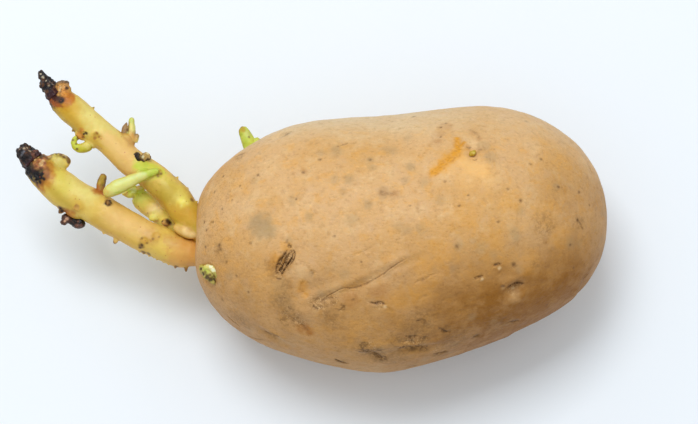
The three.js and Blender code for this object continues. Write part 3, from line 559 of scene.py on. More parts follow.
def lump_piece(place, half_sizes, turn=0.0):
    """Rounded lump with three half sizes, turned about the vertical."""
    deselect()
    bpy.ops.mesh.primitive_ico_sphere_add(subdivisions=4, radius=1.0)
    obj = bpy.context.object
    ball = points_of(obj) * MM * np.array(half_sizes)
    c, s = math.cos(math.radians(turn)), math.sin(math.radians(turn))
    put_points(obj, ball @ np.array(((c, s, 0), (-s, c, 0), (0, 0, 1))) + np.array(place))
    return obj


def nub_piece(seat, height, radius, lean=0.3):
    """Small conical growth that leans along its stem."""
    at, out, along = seat
    way = unit(out + along * lean)
    stations = [(*(at + way * d), r) for d, r in ((-0.8, radius), (0.35 * height, 0.8 * radius),
                                                  (height, 0.4 * radius))]
    return stem_piece(stations, sides=12, gap=0.3, end_round=0.8)


def teeth_pieces(line, count, seed, shares, angles):
    """Fine teeth between two shares of a stem's length and two angles round it."""
    random = np.random.default_rng(seed)
    pieces = []
    for i in range(count):
        share = shares[0] + (shares[1] - shares[0]) * (i + 0.2 + 0.6 * random.random()) / count
        angle = angles[0] + (angles[1] - angles[0]) * random.random()
        pieces.append(nub_piece(line.seat(share, angle), 0.3 + 0.4 * random.random(),
                                0.26 + 0.14 * random.random()))
    return pieces


def grown_together(pieces, name, voxel, rounds):
    """One closed surface over overlapping pieces, with its seams melted by smoothing."""
    pick_only(pieces[0])
    for piece in pieces[1:]:
        piece.select_set(True)
    if len(pieces) > 1:
        bpy.ops.object.join()
    obj = bpy.context.object
    obj.name = name
    obj.data.name = name
    remesh = obj.modifiers.new("Grow together", "REMESH")
    remesh.mode = "VOXEL"
    remesh.voxel_size = voxel * MM
    bpy.ops.object.modifier_apply(modifier=remesh.name)
    smooth = obj.modifiers.new("Melt", "SMOOTH")
    smooth.factor = 0.5
    smooth.iterations = rounds
    bpy.ops.object.modifier_apply(modifier=smooth.name)
    bpy.ops.object.shade_smooth()
    return obj


class Sculpt:
    """Relief, colours and masks that are worked into a piece's points, placed as the picture shows them."""

    def __init__(self, obj, colour=None, points=None, normals=None):
        self.obj = obj
        self.points = points_of(obj) if points is None else points
        self.normals = normals_of(obj) if normals is None else normals
        self.tree = surface_tree(self.points, obj)
        self.offset = np.zeros(len(self.points))
        self.masks = {}
        self.colour = None if colour is None else np.tile(tone(colour), (len(self.points), 1))
        self.edge = self.grain(1.1, 2, 7.0)
        self.fine_edge = self.grain(0.4, 1, 17.0)

    def grain(self, size, octaves, seed):
        """Uneven value at each point, about -1 to 1, with details of a size."""
        shift = Vector((seed, 1.7 * seed, -seed))
        return np.array([noise.fractal(Vector(p) / size + shift, 0.9, 2.0, octaves) for p in self.points])

    def distance(self, place):
        centre = np.array(place, float) if len(place) == 3 else seen_on(self.tree, place)
        return np.linalg.norm(self.points - centre, axis=1)

    def dab_share(self, place, radius, soft=0.5):
        """How much of a soft round dab falls on each point, with an uneven edge."""
        share = self.distance(place) / radius * (1 + 0.35 * self.edge)
        return 1 - ease((share - (1 - soft)) / (2 * soft))

    def line_share(self, places, per_span=6):
        """How far along a line each point is, and how far off it, positive on the left of its way."""
        path = smooth_path(places, per_span)
        line = path if path.shape[1] == 3 else np.array([seen_on(self.tree, place) for place in path])
        runs = np.concatenate(([0.0], np.cumsum(np.linalg.norm(np.diff(line, axis=0), axis=1))))
        reach = 6.0
        near = np.all((self.points > line.min(0) - reach) & (self.points < line.max(0) + reach), axis=1)
        points, normals = self.points[near], self.normals[near]
        best = np.full(len(points), np.inf)
        off = np.full(len(points), 99.0)
        share = np.zeros(len(points))
        for a, b, run in zip(line[:-1], line[1:], runs[:-1]):
            way = b - a
            size = way @ way
            if size < 1e-9:
                continue
            part = np.clip(((points - a) @ way) / size, 0, 1)
            gap = points - (a + part[:, None] * way)
            far = np.linalg.norm(gap, axis=1)
            left = np.sign((np.cross(np.broadcast_to(way, gap.shape), gap) * normals).sum(1))
            closer = far < best
            best = np.where(closer, far, best)
            off = np.where(closer, far * left, off)
            share = np.where(closer, (run + part * size ** 0.5) / runs[-1], share)
        all_off = np.full(len(self.points), 99.0)
        all_share = np.zeros(len(self.points))
        all_off[near] = off
        all_share[near] = share
        return all_share, all_off

    def paint(self, colour, share):
        share = np.clip(share, 0, 1)[:, None]
        self.colour = self.colour * (1 - share) + np.array(tone(colour)) * share

    def dab(self, colour, strength, soft, *spots):
        for px, py, radius in spots:
            self.paint(colour, strength * self.dab_share((px, py), radius, soft))

    def stroke(self, colour, strength, width, places):
        share, off = self.line_share(places)
        ends = ease(share / 0.12) * ease((1 - share) / 0.12)
        self.paint(colour, strength * ends * bell(off / width * (1 + 0.3 * self.edge)))

    def mask(self, name, share):
        held = self.masks.setdefault(name, np.zeros(len(self.points)))
        np.maximum(held, share, out=held)

    def wither(self, share=0.0):
        """Marks the whole piece as withered by one share, which the flesh finish reads."""
        self.mask("withered", np.full(len(self.points), share))

    def fold(self, places, width, depth, lip=0.0):
        """Groove along a line, with one side raised. Gives how deep in it each point is, 0 to 1."""
        share, off = self.line_share(places)
        off = off + 0.5 * width * self.edge + 0.25 * width * self.fine_edge
        ends = ease(share / 0.18) * ease((1 - share) / 0.18)
        uneven = width * (0.6 + 0.6 * np.sin(np.pi * share)) * (1 + 0.4 * self.edge)
        deep = ends * bell(off / uneven)
        self.offset -= depth * deep
        if lip:
            self.offset += abs(lip) * ends * bell((off - math.copysign(2.0 * width, lip)) / (1.3 * width))
        return deep

    def dent(self, place, radius, depth):
        self.offset -= depth * bell(self.distance(place) / radius)

    def ring(self, place, radius, depth, rim):
        """Round scar: a hollow middle and a raised rim."""
        away = self.distance(place) * (1 + 0.15 * self.edge)
        self.offset += rim * bell((away - radius) / (0.35 * radius)) - depth * bell(away / (0.6 * radius))

    def done(self):
        put_points(self.obj, self.points + self.normals * self.offset[:, None])
        if self.colour is not None:
            layer = self.obj.data.color_attributes.new("tint", "FLOAT_COLOR", "POINT")
            rgba = np.hstack((self.colour, np.ones((len(self.points), 1)))).astype(np.float32)
            layer.data.foreach_set("color", rgba.ravel())
        for name, values in self.masks.items():
            layer = self.obj.data.attributes.new(name, "FLOAT", "POINT")
            layer.data.foreach_set("value", values.astype(np.float32))
        self.obj.data.update()


def adopt(obj, node, material):
    """Gives a finished piece its finish, and puts it in the place of its CAD node."""
    obj.data.materials.clear()
    obj.data.materials.append(material)
    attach(obj, "root")
    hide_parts(node)


# Materials

class Finish:
    """A node material, built from its parts."""

    def __init__(self, name):
        self.material = bpy.data.materials.new(name)
        self.material.use_nodes = True
        self.tree = self.material.node_tree
        self.shader = self.tree.nodes["Principled BSDF"]
        place = self.add("ShaderNodeTexCoord")
        scale = self.add("ShaderNodeMapping")
        scale.inputs["Scale"].default_value = (1 / MM, 1 / MM, 1 / MM)
        self.tree.links.new(place.outputs["Object"], scale.inputs["Vector"])
        self.place = scale.outputs["Vector"]

    def add(self, kind, **settings):
        node = self.tree.nodes.new(kind)
        for key, value in settings.items():
            setattr(node, key, value)
        return node

    def feed(self, socket, value):
        if isinstance(value, bpy.types.NodeSocket):
            self.tree.links.new(value, socket)
        elif isinstance(value, tuple) and len(value) == 3 and socket.type == "RGBA":
            socket.default_value = (*value, 1.0)
        else:
            socket.default_value = value

    def noise(self, size, detail=3.0, roughness=0.55, distortion=0.0, stretch=None):
        """Uneven grey with details of a size in millimetres."""
        node = self.add("ShaderNodeTexNoise")
        place = self.place
        if stretch is not None:
            mapping = self.add("ShaderNodeMapping")
            mapping.inputs["Scale"].default_value = stretch
            self.tree.links.new(place, mapping.inputs["Vector"])
            place = mapping.outputs["Vector"]
        self.tree.links.new(place, node.inputs["Vector"])
        node.inputs["Scale"].default_value = 1.0 / size
        node.inputs["Detail"].default_value = detail
        node.inputs["Roughness"].default_value = roughness
        node.inputs["Distortion"].default_value = distortion
        return node.outputs["Fac"]

    def dots(self, gap, radius, kept, soft=0.35):
        """Round dots in cells of a size in millimetres, in a share of the cells."""
        node = self.add("ShaderNodeTexVoronoi")
        self.tree.links.new(self.place, node.inputs["Vector"])
        node.inputs["Scale"].default_value = 1.0 / gap
        size = radius / gap
        dot = self.span(node.outputs["Distance"], size * (1 + soft), size * (1 - soft))
        tint = self.add("ShaderNodeSeparateColor")
        self.tree.links.new(node.outputs["Color"], tint.inputs[0])
        keep = self.span(tint.outputs[0], kept, kept - 0.05)
        return self.calc("MULTIPLY", dot, keep)

    def span(self, value, low, high, out_low=0.0, out_high=1.0):
        """Value eased from 0 at low to 1 at high."""
        node = self.add("ShaderNodeMapRange", interpolation_type="SMOOTHSTEP")
        self.feed(node.inputs["Value"], value)
        node.inputs["From Min"].default_value = min(low, high)
        node.inputs["From Max"].default_value = max(low, high)
        rising = high > low
        node.inputs["To Min"].default_value = out_low if rising else out_high
        node.inputs["To Max"].default_value = out_high if rising else out_low
        return node.outputs["Result"]

    def calc(self, operation, first, second=0.0):
        node = self.add("ShaderNodeMath", operation=operation)
        self.feed(node.inputs[0], first)
        self.feed(node.inputs[1], second)
        return node.outputs[0]

    def mix(self, share, first, second, blend="MIX"):
        node = self.add("ShaderNodeMix", data_type="RGBA", blend_type=blend)
        self.feed(node.inputs["Factor"], share)
        self.feed(node.inputs[6], first)
        self.feed(node.inputs[7], second)
        return node.outputs[2]

    def layer(self, name):
        return self.add("ShaderNodeAttribute", attribute_name=name, attribute_type="GEOMETRY")

    def bump(self, height, depth, under=None):
        node = self.add("ShaderNodeBump")
        self.feed(node.inputs["Height"], height)
        node.inputs["Distance"].default_value = depth * MM
        if under is not None:
            self.tree.links.new(under, node.inputs["Normal"])
        return node.outputs["Normal"]

    def close(self, colour, roughness, normal, specular=0.5, subsurface=0.0, reach=1.0):
        self.feed(self.shader.inputs["Base Color"], colour)
        self.feed(self.shader.inputs["Roughness"], roughness)
        self.feed(self.shader.inputs["Normal"], normal)
        self.shader.inputs["Specular IOR Level"].default_value = specular
        self.shader.inputs["Subsurface Weight"].default_value = subsurface
        self.shader.inputs["Subsurface Radius"].default_value = (1.0, 0.55, 0.2)
        self.shader.inputs["Subsurface Scale"].default_value = reach * MM
        return self.material


def skin_finish(settings):
    """Tan skin with pores, specks, grey spots, soil in its folds, and one scratch down to the flesh."""
    f = Finish("Potato skin")
    broad = f.noise(22.0, 2.0)
    patchy = f.noise(5.0, 4.0, 0.6)
    warm = f.noise(3.4, 3.0, 0.6, 0.5)
    scurf = f.noise(1.5, 5.0, 0.65, 0.4)
    brushed = f.noise(0.62, 4.0, 0.6, 0.3, (0.55, 1.0, 1.0))
    fine = f.noise(0.36, 3.0, 0.6)
    colour = f.mix(f.span(broad, 0.38, 0.62, 0.0, 0.6), tuple(settings.skin_colour), tone(SKIN_OCHRE))
    colour = f.mix(f.span(patchy, 0.48, 0.72, 0.0, 0.6), colour, tone(SKIN_PALE))
    colour = f.mix(f.span(warm, 0.50, 0.68, 0.0, 0.45), colour, tone((218, 158, 74)))
    colour = f.mix(f.span(warm, 0.46, 0.30, 0.0, 0.40), colour, tone((206, 166, 122)))
    # Painted shade: the near side is darkened towards brown, in mottled patches.
    near_side_shade = f.layer("near_side_shade").outputs["Fac"]
    mottled = f.calc("MULTIPLY", near_side_shade, f.span(patchy, 0.35, 0.65, 0.80, 1.15))
    colour = f.mix(f.calc("MINIMUM", mottled, 1.0), colour, tone((146, 94, 24)))
    # Painted sheen: a paler, greyer tone along the far edge.
    colour = f.mix(f.layer("far_edge_sheen").outputs["Fac"], colour, tone((217, 189, 146)))

    # Fine marks lighten or darken the skin that lies under them.
    darker = f.mix(1.0, colour, (0.62, 0.54, 0.44), "MULTIPLY")
    lighter = f.mix(1.0, colour, (1.30, 1.32, 1.36), "MULTIPLY")
    smudges = f.dots(5.6, 1.1, 0.42, 0.7)
    small_smudges = f.dots(3.1, 0.5, 0.40, 0.7)
    pores = f.dots(1.9, 0.26, 0.34, 0.6)
    pale_pores = f.dots(2.3, 0.30, 0.28, 0.6)
    specks = f.dots(1.7, 0.19, 0.22, 0.5)
    crown = f.layer("crown").outputs["Fac"]
    amount = f.calc("ADD", f.calc("MULTIPLY", crown, 0.9), 0.30)
    for share in (
        f.span(scurf, 0.52, 0.70, 0.0, 0.34), f.span(brushed, 0.45, 0.30, 0.0, 0.34),
        f.span(fine, 0.42, 0.26, 0.0, 0.30),
        f.calc("MULTIPLY", crown, f.span(fine, 0.50, 0.36, 0.0, 0.42)),
        f.calc("MULTIPLY", small_smudges, 0.36), f.calc("MULTIPLY", pores, 0.42),
        f.calc("MULTIPLY", specks, amount),
    ):
        colour = f.mix(share, colour, darker)
    for share in (
        f.span(brushed, 0.54, 0.72, 0.0, 0.34), f.span(fine, 0.58, 0.74, 0.0, 0.36),
        f.calc("MULTIPLY", pale_pores, 0.30),
    ):
        colour = f.mix(share, colour, lighter)
    colour = f.mix(f.calc("MULTIPLY", smudges, 0.34), colour, tone((160, 132, 94)))

    # Stains: grime lies in fine crumbs, and soil fills the folds; the painted shade low on the near side is
    # broken into the same crumbs.
    crumbs = f.span(f.noise(0.9, 4.0, 0.7, 0.5), 0.40, 0.60, 0.25, 1.35)
    broken = f.span(scurf, 0.30, 0.62, 0.65, 1.2)
    bits = f.span(f.noise(0.7, 3.0, 0.6, 0.8), 0.40, 0.56, 0.40, 1.25)
    slivers = f.span(f.noise(0.55, 3.0, 0.6, 1.2), 0.55, 0.61)
    for name, stain, breakup in (
        # Painted highlights, partly on lighter flakes of skin.
        ("pale_flake_and_highlight", (228, 190, 136), None),
        ("glow", (246, 192, 116), None),
        ("grey", (158, 134, 96), None),
        ("bare", (222, 152, 34), broken),
        ("rust", (156, 94, 22), broken),
        ("dirt_and_shade", (112, 78, 36), crumbs),
        ("soil", (78, 48, 18), bits),
        ("flake", (214, 172, 118), slivers),
        ("speck", (104, 70, 36), broken),
    ):
        share = f.layer(name).outputs["Fac"]
        if breakup is not None:
            share = f.calc("MULTIPLY", share, breakup)
        colour = f.mix(f.calc("MINIMUM", share, 0.92), colour, tone(stain))
    rough = f.span(scurf, 0.3, 0.7, 0.48, 0.62)
    height = f.calc("ADD", f.calc("MULTIPLY", scurf, 0.6), f.calc("MULTIPLY", brushed, 0.6))
    height = f.calc("ADD", height, f.calc("MULTIPLY", fine, 0.3))
    height = f.calc("SUBTRACT", height, f.calc("MULTIPLY", small_smudges, 0.25))
    return f.close(colour, rough, f.bump(height, settings.grain_depth / MM), 0.28, 0.05, 1.0)


def flesh_finish(name, waxy, speckle, subsurface):
    """Sprout flesh: the painted tints with faint blotches, reddish dots, fine lengthwise grain and painted
    shade at the outline.
    """
    f = Finish(name)
    tint = f.layer("tint").outputs["Color"]
    blotch = f.noise(3.0, 3.0)
    streak = f.noise(1.1, 3.0, 0.6, 0.0, (0.35, 0.8, 1.0))
    fine = f.noise(0.45, 4.0, 0.6)
    colour = f.mix(f.span(blotch, 0.35, 0.65, 0.0, 0.30), tint,
                   f.mix(1.0, tint, (0.84, 0.74, 0.52), "MULTIPLY"))
    colour = f.mix(f.span(streak, 0.52, 0.70, 0.0, 0.30), colour,
                   f.mix(1.0, tint, (1.14, 1.18, 1.24), "MULTIPLY"))
    colour = f.mix(f.span(fine, 0.5, 0.75, 0.0, 0.20), colour,
                   f.mix(1.0, tint, (1.15, 1.15, 1.2), "MULTIPLY"))
    dots = f.dots(1.3, 0.16, 0.40, 0.5)
    colour = f.mix(f.calc("MULTIPLY", dots, speckle), colour, tone((176, 84, 54)))
    withered = f.layer("withered").outputs["Fac"]
    dark_bits = f.noise(0.8, 4.0, 0.7, 0.6)
    crust = f.calc("MULTIPLY", withered, f.span(dark_bits, 0.45, 0.6))
    colour = f.mix(f.calc("MULTIPLY", crust, 0.7), colour, f.mix(1.0, tint, (0.35, 0.28, 0.28), "MULTIPLY"))
    # Painted shade: the flesh turns darker and deeper yellow towards its outline as the camera sees it.
    rim = f.add("ShaderNodeLayerWeight")
    rim.inputs["Blend"].default_value = 0.5
    shaded_outline = f.mix(1.0, colour, (0.95, 0.84, 0.52), "MULTIPLY")
    colour = f.mix(f.span(rim.outputs["Facing"], 0.18, 0.80), colour, shaded_outline)
    height = f.calc("ADD", f.calc("MULTIPLY", fine, 0.5), f.calc("MULTIPLY", blotch, 0.5))
    height = f.calc("ADD", height, f.calc("MULTIPLY", streak, 0.4))
    normal = f.bump(height, 0.09)
    normal = f.bump(f.calc("MULTIPLY", dark_bits, withered), 0.25, normal)
    return f.close(colour, f.span(fine, 0.3, 0.7, waxy - 0.06, waxy + 0.1), normal, 0.3, subsurface, 1.6)


def withered_finish():
    """Dried black growth: crumpled, with brown folds, painted grey highlights, and dull and shiny places."""
    f = Finish("Withered growth")
    tint = f.layer("tint").outputs["Color"]
    crumple = f.noise(1.5, 5.0, 0.65, 0.8)
    fine = f.noise(0.4, 3.0, 0.6)
    colour = f.mix(f.span(crumple, 0.52, 0.70, 0.0, 0.45), tint, tone((98, 62, 44)))
    # Painted highlights: fine pale grey flecks.
    colour = f.mix(f.span(fine, 0.62, 0.78, 0.0, 0.30), colour, tone((150, 128, 110)))
    height = f.calc("ADD", crumple, f.calc("MULTIPLY", fine, 0.25))
    return f.close(colour, f.span(crumple, 0.35, 0.65, 0.22, 0.60), f.bump(height, 0.22), 0.32)


# Tuber body, on the same named sizes as its CAD solid

def centre_line(x):
    return 1.2 - 1.0 * bell((x + 7) / 16) + 5.5 * ease((x + 8) / 46)


def half_width_at(x):
    return HALF_WIDTH * (1 - 0.035 * ease((-18 - x) / 30))


def body_points(directions):
    x, y, z = directions.T
    power = SQUARENESS - SQUARENESS_TAPER * x
    reach = (np.abs(x) ** power + np.abs(y) ** power + np.abs(z) ** power) ** (1 / power)
    along = np.where(x < 0, SPROUT_END, FAR_END) * x / reach
    below = np.maximum(0, -z / reach)
    across = centre_line(along) + half_width_at(along) * y / reach - UNDERSIDE_LEAN * below
    height = BODY_HEIGHT + np.where(z > 0, RISE_ABOVE, DROP_BELOW) * z / reach
    return np.stack((along, across, height), axis=1)


def body_normals(directions):
    step = 1e-3
    side = np.stack((-directions[:, 1], directions[:, 0], np.zeros(len(directions))), axis=1)
    side[np.linalg.norm(side, axis=1) < 1e-3] = (1.0, 0.0, 0.0)
    side = unit(side)
    rise = np.cross(directions, side)
    here = body_points(directions)
    first = body_points(unit(directions + side * step)) - here
    second = body_points(unit(directions + rise * step)) - here
    return unit(np.cross(first, second))


def direction_to(place):
    """Direction from the middle of the body whose surface point is nearest to a place."""
    x, y, z = place
    guess = unit(np.array([[x / FAR_END, (y - centre_line(x)) / HALF_WIDTH, (z - BODY_HEIGHT) / RISE_ABOVE]]))
    for _ in range(12):
        guess = unit(guess + (np.array(place) - body_points(guess)) * 0.012)
    return guess


def hidden_eyes():
    """Eyes out of the picture's sight, at places that wind round the tuber by the golden angle.

    Places on the upper side and at the resting spot get none.
    """
    found = []
    for i in range(HIDDEN_PLACES):
        roll = 3.7 + i * GOLDEN_TURN
        along = -40 + i * 13.2 + 1.5 * i * (0.6 if i > 3 else 0)
        ring = math.sqrt(max(0.05, 1 - (along / 56) ** 2))
        y = float(centre_line(along)) + 33 * ring * math.cos(roll)
        z = BODY_HEIGHT + 27 * ring * math.sin(roll)
        if 2.5 < z < BODY_HEIGHT + 6 and math.hypot(along, y) > 20:
            found.append(((along, y, z), *HIDDEN_EYE))
    return found


def body_relief(points):
    """Broad lumps of the body, then its eyes."""
    x, y, z = points.T
    offset = 0.35 * np.sin(0.071 * x + 0.9) * np.sin(0.093 * y - 0.4 + 0.05 * z)
    offset += 0.22 * np.sin(0.13 * x - 0.11 * z + 2.1) * np.cos(0.12 * y + 0.08 * x)
    offset += 0.7 * bell((x - 24) / 15, (y - 12) / 12, (z - 50) / 16)
    offset -= 0.5 * bell((x + 20) / 11, (y + 19) / 10, (z - 48) / 14)
    offset -= 0.7 * bell((x + 26) / 14, (y + 30) / 10, (z - 26) / 16)
    offset += 0.7 * bell((x - 44) / 12, (y - 25) / 12, (z - 26) / 16)
    for place, turn, long, wide, depth, brow in EYES + hidden_eyes():
        direction = direction_to(place)
        at, out = body_points(direction)[0], body_normals(direction)[0]
        lean = math.radians(turn)
        level = abs(out[2]) > 0.35
        axis = np.array((math.cos(lean), math.sin(lean), 0) if level else (math.cos(lean), 0, math.sin(lean)))
        axis = unit(axis - out * (axis @ out))
        across = np.cross(out, axis)
        away = points - at
        a, b, c = away @ axis / long, away @ across / wide, away @ out / long
        offset -= depth * bell(a, b, c)
        offset += abs(brow) * bell(0.8 * a, (b - math.copysign(1.7, brow)) / 0.8, c) if brow else 0
    return offset


def split_faces(obj, chosen):
    """Cuts each chosen face into four."""
    bpy.context.tool_settings.mesh_select_mode = (False, False, True)
    pick_only(obj)
    bpy.ops.object.mode_set(mode="EDIT")
    bpy.ops.mesh.select_all(action="DESELECT")
    bpy.ops.object.mode_set(mode="OBJECT")
    obj.data.polygons.foreach_set("select", chosen)
    bpy.ops.object.mode_set(mode="EDIT")
    bpy.ops.mesh.subdivide(number_cuts=1)
    bpy.ops.mesh.quads_convert_to_tris()
    bpy.ops.object.mode_set(mode="OBJECT")


def face_middles(obj):
    flat = np.empty(len(obj.data.polygons) * 3, np.float32)
    obj.data.polygons.foreach_get("center", flat)
    return flat.reshape(-1, 3).astype(float)


class POTATO_PG_skin(bpy.types.PropertyGroup):
    skin_colour: FloatVectorProperty(
        name="Skin", description="Colour of clean skin", subtype="COLOR", size=3, min=0.0, max=1.0,
        default=tone(SKIN))
    grain_depth: FloatProperty(
        name="Grain depth", description="Depth of the skin's fine grain", unit="LENGTH", default=0.00015)
    fold_depth: FloatProperty(
        name="Fold depth", description="Share of the full depth of folds and cracks", default=1.0, min=0.0)
    fine_facing: FloatProperty(
        name="Fine facing", description="Faces that face the picture more than this are cut finer",
        default=0.50, min=0.0, max=1.0)


class POTATO_PG_sprouts(bpy.types.PropertyGroup):
    voxel: FloatProperty(
        name="Sprout detail", description="Voxel size of the sprouts", unit="LENGTH", default=0.00024)
    tip_voxel: FloatProperty(
        name="Tip detail", description="Voxel size of withered tips and small buds", unit="LENGTH",
        default=0.00015)
    smoothing: IntProperty(
        name="Smoothing", description="Rounds of smoothing where growths meet", default=6, min=0)


class POTATO_PG_stage(bpy.types.PropertyGroup):
    floor_colour: FloatVectorProperty(
        name="Floor", description="Colour of the floor", subtype="COLOR", size=3, min=0.0, max=1.0,
        default=(0.82, 0.845, 0.87))
    key_power: FloatProperty(
        name="Window light", description="Power of the large soft light", unit="POWER", default=9.3)
    sky_strength: FloatProperty(
        name="Room light", description="Strength of the even light from all round", default=0.88)


class POTATO_OT_stage(bpy.types.Operator):
    """Adds the floor, the soft light and the camera"""

    bl_idname = "potato.stage"
    bl_label = "Stage"

    def execute(self, context):
        settings = context.scene.potato_stage
        deselect()
        bpy.ops.mesh.primitive_plane_add(size=FLOOR_SIZE, location=FLOOR_PLACE)
        floor = context.object
        floor.name = "floor"
        f = Finish("Pale floor")
        soft = f.noise(60.0, 2.0)
        colour = f.mix(f.span(soft, 0.3, 0.7, 0.0, 0.03), tuple(settings.floor_colour), FLOOR_SHADE)
        floor.data.materials.append(f.close(colour, 0.8, f.bump(soft, 0.02), 0.2))

        lamp = bpy.data.lights.new("window", "AREA")
        lamp.shape = "RECTANGLE"
        lamp.size, lamp.size_y = WINDOW_SIZE
        lamp.energy = settings.key_power
        lamp.color = WINDOW_COLOUR
        window = bpy.data.objects.new("window", lamp)
        window.location = WINDOW_PLACE
        window.rotation_euler = (Vector(WINDOW_AIM) - window.location).to_track_quat("-Z", "Y").to_euler()
        context.scene.collection.objects.link(window)

        world = bpy.data.worlds.new("room")
        world.use_nodes = True
        tree = world.node_tree
        sky = tree.nodes["Background"]
        sky.inputs["Color"].default_value = SKY_COLOUR
        # The room is brighter overhead than at the height of the table.
        way = tree.nodes.new("ShaderNodeTexCoord")
        split = tree.nodes.new("ShaderNodeSeparateXYZ")
        level = tree.nodes.new("ShaderNodeMapRange")
        level.inputs["From Min"].default_value = 0.0
        level.inputs["From Max"].default_value = SKY_FULL_FROM
        level.inputs["To Min"].default_value = settings.sky_strength * HORIZON_SHARE
        level.inputs["To Max"].default_value = settings.sky_strength
        tree.links.new(way.outputs["Generated"], split.inputs[0])
        tree.links.new(split.outputs["Z"], level.inputs["Value"])
        tree.links.new(level.outputs["Result"], sky.inputs["Strength"])
        context.scene.world = world

        lens = bpy.data.cameras.new("camera")
        lens.sensor_width = SENSOR_WIDTH
        lens.lens = SENSOR_WIDTH * VIEW_DISTANCE / (PICTURE_WIDTH * PIXEL)
        lens.clip_start = NEAR_CLIP
        camera = bpy.data.objects.new("camera", lens)
        camera.location = Vector(VIEW_PLACE * MM)
        camera.rotation_euler = (math.pi / 2 - VIEW_ELEVATION, 0.0, 0.0)
        context.scene.collection.objects.link(camera)
        context.scene.camera = camera
        context.scene.view_settings.view_transform = "Standard"
        return {"FINISHED"}


class POTATO_OT_tuber(bpy.types.Operator):
    """Models the tuber: body, eyes, folds, stains and pores"""

    bl_idname = "potato.tuber"
    bl_label = "Tuber"

    def execute(self, context):
        settings = context.scene.potato_skin
        deselect()
        bpy.ops.mesh.primitive_ico_sphere_add(subdivisions=6, radius=1.0)
        obj = context.object
        obj.name = "tuber_skin"
        obj.data.name = "tuber_skin"
        # The net is cut finer where it faces the picture, and finest along the folds.
        fold_places = np.vstack([smooth_path(points, 4) for points, _, deep, *_ in FOLDS if deep > DEEP_FOLD])
        rounds = [(BACK_FACING, None), (settings.fine_facing, None)]
        rounds += [(FOLD_FACING, reach) for reach in FOLD_REACHES]
        for least_facing, fold_reach in rounds:
            directions = unit(face_middles(obj))
            middles = body_points(directions)
            chosen = -(body_normals(directions) * unit(middles - VIEW_PLACE)).sum(1) > least_facing
            if fold_reach is not None:
                places = in_picture(middles)
                near_fold = np.zeros(len(middles), bool)
                for place in fold_places:
                    near_fold |= np.hypot(*(places - place).T) < fold_reach
                chosen &= near_fold
            split_faces(obj, chosen)
        directions = unit(points_of(obj))
        base = body_points(directions)
        out = body_normals(directions)
        work = Sculpt(obj, points=base, normals=out)

        work.offset += body_relief(base)
        depth = settings.fold_depth
        for places, width, deep, lip, soil in FOLDS:
            inside = work.fold(places, width, deep * depth, lip * depth)
            work.mask("soil", soil * inside)
        for place, radius, deep in DENTS:
            work.dent(place, radius, deep * depth)
        for name, strength, spots in STAINS:
            for place, radius in spots:
                work.mask(name, strength * work.dab_share(place, radius, 0.6))
        for place, radius in SPECKS:
            work.mask("speck", 0.75 * work.dab_share(place, radius, 0.8))

        # The scratch shows golden flesh along both of its branches, with darker threads in it.
        for line, width in (
            (((426, 178), (432, 174), (439, 168), (447, 161), (455, 155), (461, 148)), 1.35),
            (((459, 155), (458, 146), (457, 136)), 0.95), (((456, 151), (461, 145), (466, 141)), 0.55),
        ):
            share, off = work.line_share(line)
            ends = ease((1 - share) / 0.1) * ease(share / 0.2)
            spread = width * (0.6 + 0.55 * np.sin(np.pi * share))
            work.mask("bare", 0.92 * ends * bell(off * (1 + 0.4 * work.edge) / spread))
            for shift in (-0.75, -0.1, 0.6):
                thread = bell((off - shift - 0.5 * work.edge) / 0.26)
                work.mask("rust", 0.42 * ends * thread * ease(0.5 + 1.5 * work.fine_edge))

        # Fine unevenness of the skin, and shallow wrinkles that run along it.
        uneven = work.grain(5.5, 3, 3.0)
        ripple = work.grain(1.7, 2, 11.0)
        stretched = Vector((0.28, 0.9, 0.9))
        wrinkle = np.array([noise.fractal(Vector(p) * stretched, 0.9, 2.0, 3) for p in base])
        creases = 0.10 * ease(1 - np.abs(wrinkle) / 0.12) * ease((base[:, 2] - 20) / 20)
        work.offset += 0.10 * uneven + 0.03 * ripple - creases

        # Painted shade darkens the near side, most of all towards its right; a painted sheen pales the far
        # edge.
        x, y, _ = base.T
        near = ease((4.0 - y) / 26.0)
        right = ease((x + 12.0) / 42.0)
        near_side_shade = near * (0.40 + 0.60 * right) + 0.38 * ease((x - 26.0) / 20.0) * ease((22.0 - y) / 14.0)
        work.mask("near_side_shade", np.clip(near_side_shade + 0.10 * uneven * ease(near_side_shade / 0.3), 0, 1))
        far_edge_sheen = ease((y - 19.0) / 12.0) * (0.85 + 0.3 * uneven) * (1.0 - 0.6 * ease((x + 5.0) / 30.0))
        work.mask("far_edge_sheen", np.clip(far_edge_sheen, 0, 0.85))
        crown = ease((-34.0 - base[:, 0]) / 16.0) + 0.45 * ease((-16.0 - base[:, 1]) / 12.0)
        work.mask("crown", np.clip(crown, 0, 1))

        settle = ease((base[:, 2] - 0.4) / 4)
        work.offset *= settle
        work.done()
        points = points_of(obj)
        points[:, 2] = np.maximum(points[:, 2], 0.0)
        put_points(obj, points)
        pick_only(obj)
        bpy.ops.object.shade_smooth()
        adopt(obj, "tuber", skin_finish(settings))
        return {"FINISHED"}


